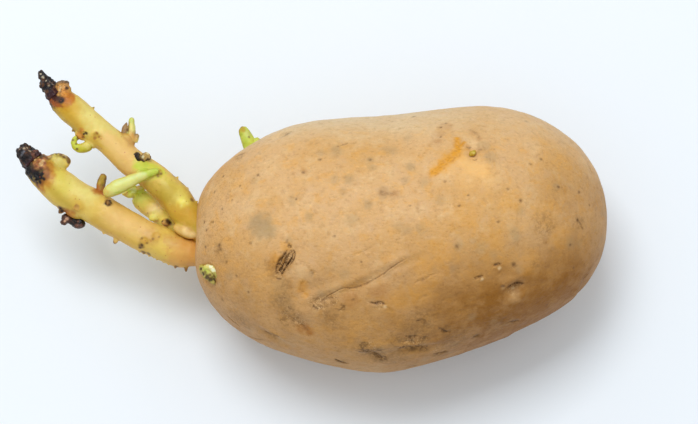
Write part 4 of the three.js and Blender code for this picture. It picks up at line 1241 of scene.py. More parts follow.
class POTATO_OT_sprouts(bpy.types.Operator):
    """Models the three thick sprouts with their scars, nubs and scales"""

    bl_idname = "potato.sprouts"
    bl_label = "Sprouts"

    def execute(self, context):
        settings = context.scene.potato_sprouts
        voxel, rounds = settings.voxel / MM, settings.smoothing
        finish = flesh_finish("Sprout flesh", 0.42, 0.62, 0.22)
        adopt(self.lower(voxel, rounds), "lower_sprout", finish)
        adopt(self.upper(voxel, rounds), "upper_sprout", finish)
        adopt(self.middle(voxel, rounds), "middle_sprout", finish)
        return {"FINISHED"}

    def lower(self, voxel, rounds):
        line = StemLine(LOWER_SPROUT)
        seat = line.seat
        pieces = [
            stem_piece(LOWER_SPROUT, ripple=0.018, end_round=0.5),
            stem_piece(LOWER_SCALE, sides=16, gap=0.3, flat=1.7, start_round=0.4),
            lump_piece((-89.3, 21.3, 30.5), (3.3, 2.0, 1.9), -15),
            lump_piece((-84.6, 9.3, 27.8), (3.4, 2.4, 2.3), -25),
            lump_piece((-88.4, 10.0, 27.5), (1.3, 0.9, 1.0), -30),
        ]
        for share, angle, height, radius, lean in (
            (0.914, 135, 0.9, 0.9, -0.2), (0.741, 178, 1.5, 1.0, 0.3), (0.508, 180, 0.7, 0.45, -0.3),
            (0.442, 182, 1.4, 0.85, -0.2), (0.319, 180, 0.5, 0.45, 0.0), (0.30, 186, 0.5, 0.4, 0.1),
            (0.141, 182, 0.8, 0.4, -0.1), (0.097, 184, 1.5, 0.65, -0.1),
        ):
            pieces.append(nub_piece(seat(share, angle), height, radius, lean))
        # Rosette of dried petals beside the withered end.
        for turn in range(0, 360, 60):
            c, d = math.cos(math.radians(turn)), math.sin(math.radians(turn))
            pieces.append(lump_piece((-93.0 + 1.1 * c, 19.8 + 1.1 * d, 33.8), (0.85, 0.5, 0.6), turn + 90))
        pieces += teeth_pieces(line, 6, 11, (0.16, 0.30), (172, 188))
        pieces += teeth_pieces(line, 4, 5, (0.2, 0.85), (215, 330))
        obj = grown_together(pieces, "lower_sprout_flesh", voxel, rounds)
        work = Sculpt(obj, YELLOW)
        share, _ = line.measure(work.points)
        work.paint(AMBER, 0.75 * ease((0.22 - share) / 0.2))
        work.paint(PEACH, 0.6 * bell((share - 0.42) / 0.17))
        # Painted light: paler yellow along the lit top near the end.
        work.dab(PALE_YELLOW, 0.8, 0.6, (76, 180, 4.0), (90, 194, 2.8))
        work.dab((216, 198, 84), 0.7, 0.6, (58, 172, 2.6), (62, 186, 2.4))
        work.dab((222, 186, 84), 0.6, 0.6, (101, 206, 2.6), (160, 246, 3.2), (170, 238, 2.4))
        work.dab(PEACH, 0.7, 0.6, (114, 214, 3.2), (128, 222, 3.4), (146, 229, 2.8))
        # Painted shade: olive and ochre bands along the lower edge.
        work.stroke(OLIVE, 0.55, 1.3, ((46, 184), (60, 198), (78, 213)))
        work.stroke(OCHRE, 0.6, 1.5, ((86, 216), (104, 228), (124, 238), (150, 250)))
        work.dab(AMBER, 0.75, 0.6, (186, 250, 4.0), (176, 262, 2.6), (192, 242, 2.6), (192, 260, 2.4))
        work.dab(TAN, 0.5, 0.6, (172, 240, 2.0), (150, 236, 2.4), (100, 192, 2.0))

        # The withered end runs from black through purple and rust to yellow.
        work.paint(UMBER, 0.92 * ease((share - 0.915) / 0.05))
        work.dab((190, 124, 34), 0.85, 0.6, (50, 166, 1.8), (50, 174, 1.5), (46, 182, 1.5), (41, 188, 1.2))
        work.dab((128, 70, 20), 0.9, 0.6, (46, 170, 1.1), (46, 176, 1.0), (41, 182, 1.1), (37, 185, 0.9),
                 (46, 158, 0.8))
        work.dab(PURPLE, 0.9, 0.5, (33, 150, 1.2), (32, 156, 1.2), (34, 172, 1.2), (33, 180, 1.0))
        work.dab((132, 80, 62), 0.85, 0.5, (37, 152, 1.1), (41, 152, 0.9))
        work.dab((208, 160, 112), 0.85, 0.5, (46, 154, 1.1), (49, 156, 0.8))
        work.dab(BLACK, 1.0, 0.5, (29, 158, 1.2), (28, 165, 1.6), (28, 171, 1.4), (31, 177, 1.0),
                 (31, 150, 0.8))
        work.dab((204, 138, 84), 0.95, 0.4, (40, 163, 1.7))
        work.dab((132, 72, 40), 0.85, 0.5, (38, 161, 0.4), (41, 168, 0.5), (45, 163, 0.4), (36, 166, 0.5),
                 (42, 158, 0.35))
        work.dab((222, 188, 132), 0.85, 0.4, (41, 164, 0.6), (43, 161, 0.35), (35, 160, 0.35), (38, 157, 0.3))
        work.dab((168, 110, 50), 0.7, 0.5, (46, 172, 0.6), (34, 162, 0.5))
        work.dab(UMBER, 0.9, 0.5, (41, 171, 0.8), (35, 181, 0.9), (33, 185, 0.6), (37, 183, 0.5))
        work.dab(BLACK, 1.0, 0.4, (36, 175, 1.2), (40, 177, 0.9), (42, 174, 0.55), (44, 179, 0.45),
                 (40, 182, 0.5), (37, 179, 0.7))
        work.dab(RUST, 0.8, 0.5, (98, 191, 1.2), (103, 193, 1.0))
        work.dab(BROWN, 0.9, 0.4, (108, 203, 1.0))
        work.dab(BLACK, 0.95, 0.4, (110, 201, 0.35), (106, 204, 0.3), (109, 205, 0.35), (111, 203, 0.3))
        work.dab(TAN, 0.8, 0.4, (108, 202, 0.3))
        work.dab(OCHRE, 0.7, 0.6, (78, 207, 1.7), (70, 212, 1.4))
        work.dab(TAN, 0.75, 0.4, (77, 207, 0.8))
        work.dab(RUST, 0.55, 0.6, (66, 212, 1.5), (70, 215, 1.3), (73, 212, 0.8), (64, 216, 1.0))
        work.dab(BROWN, 0.9, 0.4, (60, 210, 1.1), (57, 212, 0.8), (102, 234, 0.7), (113, 243, 0.9))
        work.dab(BLACK, 0.9, 0.4, (62, 211, 0.5), (58, 212, 0.4), (60, 208, 0.4))
        work.dab((196, 148, 48), 0.85, 0.45, (145, 240, 1.1), (156, 236, 1.25))
        work.dab((214, 172, 78), 0.6, 0.6, (144, 240, 0.5), (157, 235, 0.55))
        work.dab(BROWN, 0.6, 0.5, (147, 243, 0.3), (153, 239, 0.3), (159, 237, 0.25), (142, 238, 0.3))
        work.dab(BROWN, 0.8, 0.5, (141, 246, 0.8), (143, 252, 0.7), (149, 254, 0.6), (176, 267, 0.6),
                 (186, 270, 0.8))
        work.dab(UMBER, 0.8, 0.4, (142, 245, 0.35), (140, 248, 0.3))
        work.dab((208, 190, 100), 0.8, 0.5, (57, 157, 1.4), (60, 163, 1.6), (65, 156, 0.6))
        work.dab((186, 178, 50), 0.8, 0.5, (53, 153, 0.6), (57, 153, 0.5))
        work.dab(CREAM, 0.6, 0.5, (65, 156, 0.45), (66, 153, 0.4))
        work.dab(BROWN, 0.9, 0.5, (61, 154, 0.6), (64, 157, 0.5), (69, 158, 0.7), (69, 162, 0.6),
                 (57, 153, 0.4))
        work.dent((40, 164), 0.5, 0.35)
        work.ring((108, 203), 0.75, 0.75, 0.20)
        work.ring((145, 240), 1.0, 0.05, 0.08)
        work.ring((156, 236), 1.1, 0.05, 0.08)
        work.ring((77, 207), 0.9, 0.15, 0.2)
        dry = ease((share - 0.87) / 0.1)
        work.mask("withered", dry)
        work.offset += dry * (0.22 * work.grain(1.2, 3, 5.0) - 0.2 * np.abs(work.grain(0.9, 2, 9.0)))
        work.offset += 0.07 * work.grain(2.4, 2, 2.0)
        work.done()
        return obj

    def upper(self, voxel, rounds):
        line = StemLine(UPPER_SPROUT)
        seat = line.seat
        pieces = [stem_piece(UPPER_SPROUT, ripple=0.018, end_round=0.5)]
        pieces.append(stem_piece(UPPER_SCALE, sides=16, gap=0.3, flat=1.3, start_round=0.4))
        for place, sizes, turn in (
            ((-63.7, 17.4, 31.0), (2.4, 1.8, 1.9), 40), ((-71.1, 27.0, 31.0), (2.2, 1.6, 1.8), -38),
            ((-83.3, 27.9, 32.3), (1.7, 1.0, 1.3), -40), ((-80.5, 26.1, 31.8), (1.8, 1.3, 1.5), -40),
            ((-87.8, 39.7, 35.4), (2.3, 1.6, 1.2), -8), ((-56.0, 3.1, 28.8), (3.3, 1.5, 1.5), -26),
        ):
            pieces.append(lump_piece(place, sizes, turn))
        for share, angle, height, radius, lean in (
            (0.809, 180, 0.8, 0.5, 0.2), (0.814, 2, 0.8, 0.45, -0.2), (0.295, 4, 0.7, 0.4, -0.2),
            (0.233, 4, 0.6, 0.4, -0.2), (0.157, 20, 0.7, 0.4, -0.2),
        ):
            pieces.append(nub_piece(seat(share, angle), height, radius, lean))
        pieces += teeth_pieces(line, 4, 23, (0.15, 0.8), (230, 330))
        obj = grown_together(pieces, "upper_sprout_flesh", voxel, rounds)
        work = Sculpt(obj, YELLOW)
        share, _ = line.measure(work.points)
        work.paint(OLIVE, 0.55 * ease((0.36 - share) / 0.2))
        work.paint(PEACH, 0.6 * bell((share - 0.52) / 0.14))
        # Painted light: paler yellow along the lit upper edge.
        work.dab(PALE_YELLOW, 0.7, 0.6, (98, 118, 3.6), (84, 108, 2.6), (112, 130, 2.8))
        work.dab((224, 206, 100), 0.8, 0.6, (176, 192, 2.2), (168, 182, 1.8), (184, 200, 1.6))
        # Painted shade: ochre bands along the lower edge towards the end.
        work.stroke(OCHRE, 0.75, 1.4, ((54, 104), (64, 114), (76, 124), (84, 131)))
        work.stroke((222, 180, 66), 0.6, 1.2, ((88, 134), (98, 143), (108, 152), (118, 162)))
        work.dab((208, 160, 36), 0.7, 0.6, (72, 110, 2.4), (63, 107, 2.0))
        work.dab(PEACH, 0.7, 0.6, (118, 148, 3.4), (130, 158, 3.0), (128, 170, 2.4), (108, 138, 2.0))
        # Painted shade: olive and ochre on the lower side towards the base.
        work.dab(OLIVE, 0.6, 0.6, (166, 192, 3.0), (160, 200, 2.6), (182, 214, 3.0), (192, 222, 2.4),
                 (150, 188, 2.2))
        work.stroke(OCHRE, 0.6, 1.0, ((150, 196), (166, 206), (180, 220), (192, 232)))
        work.dab((206, 206, 70), 0.85, 0.6, (140, 166, 1.8), (148, 168, 2.0), (156, 170, 1.9),
                 (148, 175, 1.6), (162, 172, 1.2))
        work.dab(LIME, 0.5, 0.6, (138, 166, 0.9), (146, 165, 1.0))
        work.dab(PEACH, 0.6, 0.6, (134, 150, 1.2), (137, 148, 0.8), (128, 143, 1.2))
        work.dab(TAN, 0.6, 0.6, (128, 133, 1.6), (135, 138, 1.6), (131, 141, 1.6), (122, 130, 1.2))

        # The withered end, with a dried flap on its far side.
        work.paint(UMBER, 0.92 * ease((share - 0.925) / 0.05))
        work.dab((190, 112, 24), 0.9, 0.6, (68, 95, 1.6), (66, 101, 1.4), (71, 100, 1.0), (72, 95, 0.8))
        work.dab((168, 86, 30), 0.9, 0.5, (50, 100, 1.0), (54, 103, 1.1), (58, 105, 0.8))
        work.dab((222, 164, 88), 0.95, 0.5, (59, 87, 1.2), (63, 86, 1.1), (61, 92, 1.1), (67, 87, 0.9),
                 (58, 95, 0.5))
        work.dab((216, 144, 60), 0.8, 0.5, (65, 92, 0.9), (63, 95, 0.7))
        work.stroke((140, 112, 84), 0.9, 0.32, ((55, 84), (60, 82), (65, 82), (70, 84)))
        work.stroke((120, 78, 40), 0.7, 0.16, ((58, 84), (57, 88), (58, 93)))
        work.stroke((120, 78, 40), 0.6, 0.14, ((62, 84), (62, 88), (60, 92)))
        work.stroke(CREAM, 0.6, 0.14, ((60, 85), (60, 89), (59, 92)))
        work.dab(UMBER, 0.9, 0.4, (67, 88, 0.5), (55, 89, 0.5))
        work.dab(PURPLE, 0.9, 0.5, (50, 96, 1.1), (54, 97, 0.9), (47, 96, 0.7))
        work.dab((74, 34, 18), 0.95, 0.5, (56, 98, 0.9), (60, 100, 1.0), (62, 99, 0.6))
        work.dab(BLACK, 0.95, 0.5, (48, 92, 1.2), (53, 92, 0.9), (61, 101, 0.6))
        work.dab((206, 132, 52), 0.8, 0.5, (80, 135, 1.1), (78, 138, 0.9), (82, 130, 0.7), (83, 137, 0.6))
        work.dab(BROWN, 0.7, 0.5, (76, 137, 0.4), (83, 137, 0.4), (73, 131, 0.6), (95, 106, 0.6),
                 (174, 175, 0.6))
        work.dab(UMBER, 0.95, 0.35, (86, 133, 0.5), (84, 134, 0.35))
        work.dab((190, 148, 50), 0.8, 0.4, (96, 136, 1.1))
        work.dab((150, 92, 30), 0.7, 0.4, (95, 138, 0.45), (97, 133, 0.35), (99, 137, 0.3))
        work.dab(PALE_YELLOW, 0.6, 0.6, (86, 144, 1.2), (90, 146, 0.8))
        work.dab((176, 146, 40), 0.8, 0.5, (159, 173, 1.0))
        work.dab(BROWN, 0.75, 0.5, (157, 171, 0.3), (161, 174, 0.35), (158, 176, 0.3), (183, 184, 0.5),
                 (192, 200, 0.6))
        work.dab((228, 212, 92), 0.9, 0.5, (183, 203, 1.5), (180, 206, 1.1))
        work.dab((232, 222, 130), 0.6, 0.5, (184, 201, 0.5), (181, 206, 0.4), (187, 204, 0.4))
        work.dab(OCHRE, 0.7, 0.6, (188, 213, 2.0), (182, 216, 1.8), (192, 220, 1.6), (176, 210, 1.6))
        work.dab((220, 180, 104), 0.9, 0.6, (176, 229, 1.4), (184, 232, 1.6), (190, 235, 1.7),
                 (195, 237, 1.3))
        work.dab((236, 206, 140), 0.7, 0.6, (186, 231, 0.9), (192, 235, 0.8))
        work.dab((206, 158, 84), 0.5, 0.6, (180, 228, 0.6), (189, 230, 0.6))
        work.ring((96, 136), 1.1, 0.18, 0.18)
        work.ring((159, 173), 0.8, 0.15, 0.15)
        work.ring((85, 133), 0.7, 0.3, 0.15)
        work.dent((183, 203), 1.3, -0.45)
        dry = ease((share - 0.88) / 0.1)
        work.mask("withered", dry)
        work.offset += dry * (0.2 * work.grain(1.2, 3, 5.0) - 0.2 * np.abs(work.grain(0.9, 2, 9.0)))
        work.offset += 0.07 * work.grain(2.4, 2, 4.0)
        work.done()
        return obj

    def middle(self, voxel, rounds):
        line = StemLine(MIDDLE_SPROUT)
        pieces = [stem_piece(MIDDLE_SPROUT, ripple=0.02), stem_piece(MIDDLE_SCALE, gap=0.3, flat=0.8)]
        for place, sizes, turn in (
            ((-70.6, 15.2, 26.0), (1.7, 0.8, 1.2), 30), ((-71.4, 13.7, 25.3), (1.5, 0.7, 1.0), -20),
            ((-68.2, 15.4, 25.9), (1.9, 0.7, 1.1), 20), ((-64.3, 7.9, 24.1), (1.6, 1.1, 0.8), 12),
            ((-56.2, 4.6, 23.4), (3.0, 1.4, 1.5), 14),
        ):
            pieces.append(lump_piece(place, sizes, turn))
        # Torn leaflets stand up round the green end.
        random = np.random.default_rng(31)
        for i in range(11):
            turn = 360 * random.random()
            place = np.array((-69.8, 14.6, 25.6)) + random.uniform(-1, 1, 3) * (2.4, 1.3, 0.7)
            pieces.append(lump_piece(place, (0.9, 0.34, 0.7 + 0.5 * random.random()), turn))
        obj = grown_together(pieces, "middle_sprout_flesh", voxel, 4)
        # Painted light: the base tone is lighter to make up for the shadow that the upper sprout casts on it.
        work = Sculpt(obj, (242, 222, 116))
        work.dab((226, 198, 82), 0.6, 0.6, (146, 204, 2.2), (168, 216, 2.6), (176, 226, 2.0))
        work.dab((222, 228, 104), 0.8, 0.6, (132, 191, 3.0), (139, 197, 2.2), (146, 194, 1.8))
        work.dab((196, 214, 72), 0.8, 0.6, (128, 188, 1.5), (137, 191, 1.5), (144, 188, 1.2))
        work.dab(MINT, 0.8, 0.5, (134, 191, 0.8), (130, 187, 0.7), (141, 188, 0.9), (146, 186, 0.7))
        work.dab(PEACH, 0.6, 0.5, (126, 194, 0.7), (138, 187, 0.6))
        work.dab((242, 216, 150), 0.7, 0.6, (155, 209, 1.6), (150, 212, 1.3), (160, 205, 1.3))
        work.dab((226, 216, 106), 0.8, 0.6, (154, 218, 1.5), (149, 217, 0.9))
        work.dab(TAN, 0.8, 0.5, (164, 223, 1.3), (168, 224, 1.0))
        work.dab(UMBER, 0.9, 0.5, (168, 221, 0.7), (170, 223, 0.5), (162, 221, 0.35))
        work.dab((240, 214, 150), 0.7, 0.5, (184, 231, 2.0), (178, 229, 1.5), (190, 234, 1.4),
                 (194, 236, 1.2))
        work.offset += 0.09 * work.grain(2.0, 2, 8.0) + 0.05 * work.grain(0.8, 2, 3.0)
        work.wither()
        work.done()
        return obj


class POTATO_OT_tips(bpy.types.Operator):
    """Models the two black withered tips"""

    bl_idname = "potato.tips"
    bl_label = "Withered tips"

    def execute(self, context):
        settings = context.scene.potato_sprouts
        voxel = settings.tip_voxel / MM
        finish = withered_finish()
        lumps = (((-98.0, 23.5, 31.5), (1.8, 1.8, 1.8), 20), ((-97.5, 25.1, 31.3), (1.4, 0.9, 1.1), 0),
                 ((-97.4, 21.2, 31.3), (1.2, 0.9, 1.0), 50))
        adopt(self.tip("lower", LOWER_TIP, lumps, voxel), "lower_sprout_tip", finish)
        lumps = (((-91.0, 40.6, 35.2), (1.1, 0.8, 0.9), 50), ((-93.2, 41.1, 34.9), (1.0, 0.8, 0.9), 80),
                 ((-93.7, 43.4, 35.4), (0.55, 0.9, 0.55), 20))
        adopt(self.tip("upper", UPPER_TIP, lumps, voxel), "upper_sprout_tip", finish)
        return {"FINISHED"}

    def tip(self, name, stations, lumps, voxel):
        pieces = [stem_piece(stations, gap=0.3, ripple=0.05, end_round=0.8)]
        pieces += [lump_piece(*lump) for lump in lumps]
        obj = grown_together(pieces, f"{name}_tip_husk", voxel, 4)
        work = Sculpt(obj, BLACK)
        line = StemLine(stations)
        share, angle = line.measure(work.points)
        work.paint(PURPLE, 0.6 * ease((0.35 - share) / 0.3))
        work.paint(BROWN, 0.7 * ease((work.grain(1.3, 2, 4.0) - 0.15) / 0.3))
        # The husk has dried into a few long ridges, broken by coarse crumples.
        turn = np.radians(angle)
        long_way = share * line.length
        ridges = np.sin(4 * turn + 0.8 * long_way + 2.2 * work.grain(2.2, 2, 21.0))
        crumples = np.abs(work.grain(1.6, 3, 3.0))
        work.offset += 0.20 * ridges + 0.45 * (0.35 - crumples) + 0.07 * work.grain(0.5, 2, 13.0)
        work.offset *= ease(share / 0.1) * 0.6 + 0.4
        if name == "lower":
            work.ring((22, 154), 1.15, 0.0, 0.28)
            work.dab(BROWN, 0.6, 0.5, (20, 148, 0.6), (26, 148, 0.6), (29, 150, 0.5))
            work.dab((196, 172, 140), 0.8, 0.4, (24, 149, 0.3), (27, 148, 0.28), (30, 151, 0.35),
                     (20, 149, 0.25))
            # Painted glint: a bluish grey spot on the black knob.
            work.dab((122, 124, 132), 0.7, 0.5, (22, 154, 0.5), (24, 152, 0.3))
            work.dab(BLACK, 0.9, 0.5, (24, 159, 1.2), (23, 145, 0.6), (19, 154, 0.5))
            work.dab((120, 70, 52), 0.7, 0.5, (35, 151, 0.7), (33, 154, 0.5))
        else:
            work.dab(BROWN, 0.6, 0.5, (43, 80, 0.5), (48, 84, 0.4), (52, 83, 0.4))
            # Painted highlights: pale and grey flecks near the point.
            work.dab((206, 190, 160), 0.85, 0.4, (43, 77, 0.28), (41, 74, 0.22), (46, 81, 0.2),
                     (53, 84, 0.25))
            work.dab((150, 130, 100), 0.8, 0.4, (40, 84, 0.2), (49, 86, 0.2), (44, 91, 0.2), (50, 81, 0.2))
        work.done()
        return obj


class POTATO_OT_withered_buds(bpy.types.Operator):
    """Models the dark withered buds on both long sprouts"""

    bl_idname = "potato.withered_buds"
    bl_label = "Withered buds"

    def execute(self, context):
        voxel = context.scene.potato_sprouts.tip_voxel / MM
        finish = withered_finish()
        lower = grown_together([
            lump_piece((-86.8, 7.1, 26.4), (1.7, 1.2, 1.4), -25),
            lump_piece((-84.1, 5.9, 26.2), (2.1, 1.4, 1.5), -12),
            lump_piece((-87.6, 6.2, 26.4), (1.1, 0.8, 1.0)),
        ], "lower_withered_bud_husk", voxel, 3)
        work = Sculpt(lower, (84, 50, 34))
        work.ring((77, 222), 1.1, 0.25, 0.2)
        work.dab(BLACK, 0.95, 0.5, (76, 223, 1.6), (81, 223, 1.4), (72, 224, 1.0))
        work.dab((122, 76, 56), 0.8, 0.5, (77, 226, 0.6), (81, 226, 0.5), (78, 221, 0.3))
        # Painted highlight: a pinkish gleam on the brown lobe.
        work.dab((226, 176, 140), 0.7, 0.4, (67, 219, 0.45), (65, 221, 0.35))
        work.offset += 0.24 * work.grain(1.0, 2, 5.0) - 0.2 * np.abs(work.grain(0.8, 2, 8.0))
        work.done()
        adopt(lower, "lower_sprout_withered_bud", finish)

        upper = grown_together([
            lump_piece((-68.6, 22.4, 33.2), (1.1, 0.8, 0.9), 20),
            lump_piece((-67.9, 21.4, 33.6), (0.9, 0.7, 0.8), -30),
            lump_piece((-69.0, 21.4, 33.2), (0.7, 0.6, 0.7), 60),
            lump_piece((-68.0, 22.4, 33.9), (0.6, 0.5, 0.5)),
            stem_piece(((-66.9, 20.9, 33.0, 0.6), (-66.7, 22.0, 33.6, 0.65), (-65.9, 22.6, 33.6, 0.6),
                        (-65.2, 22.0, 33.3, 0.6), (-65.4, 21.1, 33.0, 0.5)), gap=0.3, ripple=0.1),
            lump_piece((-66.2, 21.6, 32.9), (0.9, 0.7, 0.8), 20),
        ], "upper_withered_bud_husk", voxel, 2)
        work = Sculpt(upper, (132, 104, 54))
        work.dab(BLACK, 0.95, 0.5, (136, 155, 0.9), (138, 160, 0.9), (133, 157, 0.5))
        work.dab((196, 160, 92), 0.85, 0.5, (147, 155, 0.9), (150, 157, 0.7), (145, 158, 0.6))
        # Painted highlights: cream gleams on the tan curl.
        work.dab(CREAM, 0.7, 0.5, (148, 153, 0.4), (143, 157, 0.35))
        work.dab(UMBER, 0.9, 0.5, (148, 162, 0.7), (152, 157, 0.35), (142, 161, 0.5))
        work.offset += 0.16 * work.grain(0.9, 2, 5.0) - 0.12 * np.abs(work.grain(0.7, 2, 8.0))
        work.done()
        adopt(upper, "upper_sprout_withered_bud", finish)
        return {"FINISHED"}


class POTATO_OT_side_growths(bpy.types.Operator):
    """Models the peg, the side bud, the curl and the green shoot"""

    bl_idname = "potato.side_growths"
    bl_label = "Side growths"

    def execute(self, context):
        voxel = context.scene.potato_sprouts.tip_voxel / MM
        dry = flesh_finish("Dry scale", 0.6, 0.5, 0.05)
        green = flesh_finish("Green growth", 0.40, 0.12, 0.22)

        peg = grown_together([
            stem_piece(((-78.1, 12.0, 28.4, 1.35), (-78.0, 15.4, 29.0, 1.15), (-77.1, 18.4, 29.3, 0.85)),
                       gap=0.4, ripple=0.05, end_round=0.9),
        ], "peg_husk", voxel, 3)
        work = Sculpt(peg, (160, 130, 62))
        work.dab(OLIVE, 0.6, 0.6, (101, 182, 1.0), (103, 177, 0.8))
        work.dab((122, 96, 72), 0.8, 0.5, (106, 180, 0.7), (105, 186, 0.8), (98, 180, 0.6), (104, 174, 0.6))
        work.dab(RUST, 0.7, 0.5, (97, 188, 0.9), (104, 190, 0.7), (100, 192, 0.8))
        work.offset += 0.12 * work.grain(1.2, 3, 4.0)
        work.wither(0.35)
        work.done()
        adopt(peg, "lower_sprout_peg", dry)

        bud = grown_together([
            stem_piece(((-70.4, 26.3, 31.0, 1.3), (-70.0, 29.2, 31.2, 1.0), (-70.1, 31.6, 31.4, 0.8),
                        (-70.2, 33.2, 31.5, 0.5)), gap=0.4, end_round=0.9),
            stem_piece(((-71.9, 28.2, 31.0, 1.2), (-71.9, 30.0, 31.1, 0.8), (-71.4, 31.8, 31.2, 0.3)),
                       gap=0.4, flat=0.6),
            stem_piece(((-69.4, 26.6, 31.0, 1.0), (-68.8, 27.9, 31.1, 0.8), (-68.5, 28.8, 31.2, 0.4)),
                       gap=0.4, flat=0.6),
        ], "side_bud_husk", voxel, 3)
        work = Sculpt(bud, (206, 206, 122))
        work.dab(LIME, 0.35, 0.6, (131, 122, 1.2), (130, 117, 0.8))
        work.dab(PALE_YELLOW, 0.7, 0.5, (131, 126, 0.9), (132, 131, 0.8))
        work.dab((158, 122, 74), 0.9, 0.5, (124, 129, 1.5), (122, 132, 1.3), (126, 125, 1.0), (137, 135, 1.0))
        work.dab(BROWN, 0.8, 0.5, (127, 123, 0.5), (128, 130, 0.5), (121, 128, 0.5), (138, 132, 0.4),
                 (134, 118, 0.35))
        work.dab(AMBER, 0.7, 0.5, (130, 137, 1.2), (134, 138, 1.0))
        work.offset += 0.12 * work.grain(1.0, 3, 4.0)
        work.mask("withered", 0.4 * work.dab_share((124, 128), 2.0, 0.5))
        work.done()
        adopt(bud, "upper_sprout_side_bud", green)

        curl = grown_together([stem_piece(CURL, gap=0.3, ripple=0.03)], "curl_flesh", voxel, 3)
        work = Sculpt(curl, (200, 192, 62))
        work.dab((190, 202, 66), 0.7, 0.6, (74, 141, 1.2), (76, 146, 0.8))
        work.dab(PALE_YELLOW, 0.7, 0.6, (84, 143, 0.9), (87, 145, 1.0))
        work.dab((196, 184, 42), 0.6, 0.6, (82, 149, 1.0))
        work.dab(BROWN, 0.8, 0.5, (76, 144, 0.3), (77, 149, 0.4), (73, 140, 0.3), (78, 138, 0.5))
        work.offset += 0.1 * work.grain(1.0, 2, 4.0)
        work.wither()
        work.done()
        adopt(curl, "upper_sprout_curl", green)

        shoot = grown_together([
            stem_piece(GREEN_SHOOT, gap=0.4, start_round=0.3, end_round=0.9),
            lump_piece((-66.6, 17.9, 32.9), (1.9, 1.1, 1.0), 10),
        ], "green_shoot_flesh", voxel, 4)
        work = Sculpt(shoot, (218, 216, 124))
        work.dab(LIME, 0.8, 0.6, (156, 170, 1.4), (150, 174, 1.2), (144, 170, 1.2))
        # Painted shade: darker lime along the lower edge; painted light: paler mint along the top.
        work.stroke(LIME, 0.75, 0.45, ((112, 194), (124, 191), (136, 187), (148, 181), (156, 175)))
        work.stroke(MINT, 0.7, 0.5, ((112, 186), (124, 180), (136, 176), (148, 173)))
        work.dab(OCHRE, 0.5, 0.6, (106, 193, 1.2))
        work.offset += 0.05 * work.grain(1.6, 2, 4.0)
        work.wither()
        work.done()
        adopt(shoot, "green_shoot", green)
        return {"FINISHED"}


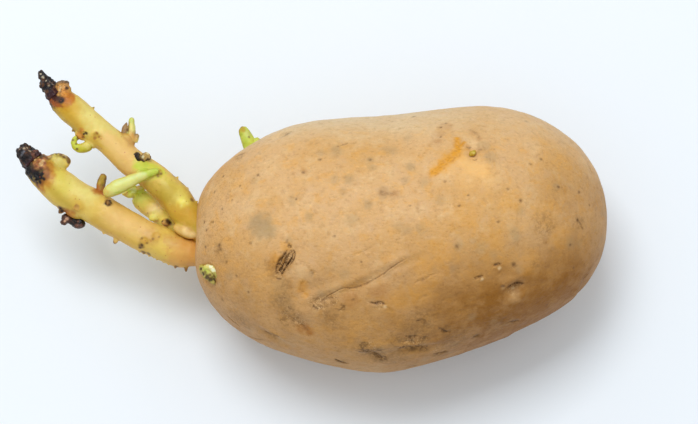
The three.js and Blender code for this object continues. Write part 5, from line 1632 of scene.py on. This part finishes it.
class POTATO_OT_tuber_buds(bpy.types.Operator):
    """Models the far shoot, the end bud and the eye bud"""

    bl_idname = "potato.tuber_buds"
    bl_label = "Buds of the tuber"

    def execute(self, context):
        voxel = context.scene.potato_sprouts.tip_voxel / MM
        green = flesh_finish("Bud green", 0.42, 0.15, 0.2)

        shoot = grown_together([
            stem_piece(BACK_SHOOT, gap=0.4, start_round=0.4, end_round=0.9),
            stem_piece(((-38.1, 23.0, 27.4, 1.6), (-37.6, 27.0, 28.0, 1.2), (-37.4, 28.4, 28.6, 0.7)),
                       gap=0.4),
        ], "back_shoot_flesh", voxel, 4)
        work = Sculpt(shoot, (200, 210, 92))
        work.dab((172, 186, 48), 0.6, 0.6, (246, 143, 1.2), (240, 134, 0.7))
        work.dab((204, 212, 84), 0.7, 0.6, (253, 139, 1.2), (250, 143, 0.8))
        work.dab(MINT, 0.5, 0.6, (247, 134, 0.8), (254, 137, 0.6))
        work.dab(OLIVE, 0.8, 0.5, (241, 128, 0.9), (243, 130, 0.6), (239, 131, 0.6))
        work.dab(BROWN, 0.6, 0.5, (249, 137, 0.3), (241, 127, 0.4))
        work.offset += 0.14 * work.grain(1.1, 3, 4.0)
        work.wither()
        work.done()
        adopt(shoot, "back_shoot", green)

        bud = grown_together([
            lump_piece((-48.5, -9.5, 37.4), (2.5, 1.9, 2.0), -25),
            lump_piece((-47.8, -11.2, 36.8), (2.4, 1.1, 1.5), -35),
            lump_piece((-50.5, -8.6, 36.5), (1.0, 1.6, 1.4), 30),
            stem_piece(((-50.4, -8.9, 38.0, 0.5), (-49.4, -8.4, 39.2, 0.7), (-48.0, -8.9, 39.7, 0.8),
                        (-47.0, -10.3, 39.2, 0.7), (-46.7, -11.4, 38.2, 0.4)), gap=0.3),
            stem_piece(((-50.2, -10.6, 38.0, 0.45), (-48.9, -11.4, 38.6, 0.55), (-47.4, -12.4, 38.0, 0.45)),
                       gap=0.3,
                       ripple=0.15),
        ], "end_bud_flesh", voxel, 2)
        work = Sculpt(bud, (178, 164, 82))
        work.dab(PALE_YELLOW, 0.8, 0.5, (205, 266, 1.2), (210, 269, 1.3))
        # Painted highlight: a near-white crescent on the bud.
        work.dab((240, 240, 206), 0.95, 0.4, (205, 264, 0.55), (208, 263, 0.5), (211, 266, 0.55),
                 (213, 270, 0.55))
        work.dab(LIME, 0.5, 0.6, (204, 269, 0.7), (207, 270, 0.8))
        work.dab(UMBER, 0.9, 0.4, (203, 274, 0.6), (207, 277, 0.7), (211, 279, 0.7), (215, 280, 0.7),
                 (201, 269, 0.35))
        work.dab(BROWN, 0.7, 0.5, (205, 272, 0.4), (210, 275, 0.4), (214, 276, 0.4))
        work.offset += 0.16 * work.grain(1.0, 3, 4.0)
        work.wither()
        work.done()
        adopt(bud, "end_bud", green)

        bud = grown_together([
            lump_piece((17.5, 18.0, 52.0), (0.9, 0.75, 0.9), 25),
            lump_piece((18.0, 18.4, 51.9), (0.6, 0.5, 0.7), -30),
        ], "eye_bud_flesh", voxel, 2)
        work = Sculpt(bud, (190, 162, 50))
        work.dab((226, 204, 112), 0.7, 0.5, (474, 153, 0.35), (476, 155, 0.25))
        work.dab(OLIVE, 0.6, 0.5, (472, 155, 0.4), (476, 157, 0.4))
        work.offset += 0.1 * work.grain(0.8, 2, 4.0)
        work.wither()
        work.done()
        adopt(bud, "eye_bud", green)
        return {"FINISHED"}


OPERATORS = (
    POTATO_OT_stage, POTATO_OT_tuber, POTATO_OT_sprouts, POTATO_OT_tips, POTATO_OT_withered_buds,
    POTATO_OT_side_growths, POTATO_OT_tuber_buds,
)


class POTATO_PT_panel(bpy.types.Panel):
    bl_idname = "POTATO_PT_panel"
    bl_label = "Sprouted potato"
    bl_space_type = "VIEW_3D"
    bl_region_type = "UI"
    bl_category = "Potato"

    def draw(self, context):
        scene = context.scene
        for group in (scene.potato_stage, scene.potato_skin, scene.potato_sprouts):
            box = self.layout.box()
            for name in group.__annotations__:
                box.prop(group, name)
        for operator in OPERATORS:
            self.layout.operator(operator.bl_idname)


CLASSES = (POTATO_PG_skin, POTATO_PG_sprouts, POTATO_PG_stage, *OPERATORS, POTATO_PT_panel)


def register():
    for cls in CLASSES:
        bpy.utils.register_class(cls)
    bpy.types.Scene.potato_skin = PointerProperty(type=POTATO_PG_skin)
    bpy.types.Scene.potato_sprouts = PointerProperty(type=POTATO_PG_sprouts)
    bpy.types.Scene.potato_stage = PointerProperty(type=POTATO_PG_stage)


def unregister():
    del bpy.types.Scene.potato_stage
    del bpy.types.Scene.potato_sprouts
    del bpy.types.Scene.potato_skin
    for cls in reversed(CLASSES):
        bpy.utils.unregister_class(cls)


def main():
    register()
    for operator in OPERATORS:
        group, name = operator.bl_idname.split(".")
        getattr(getattr(bpy.ops, group), name)()
    deselect()


if __name__ == "__main__":
    main()
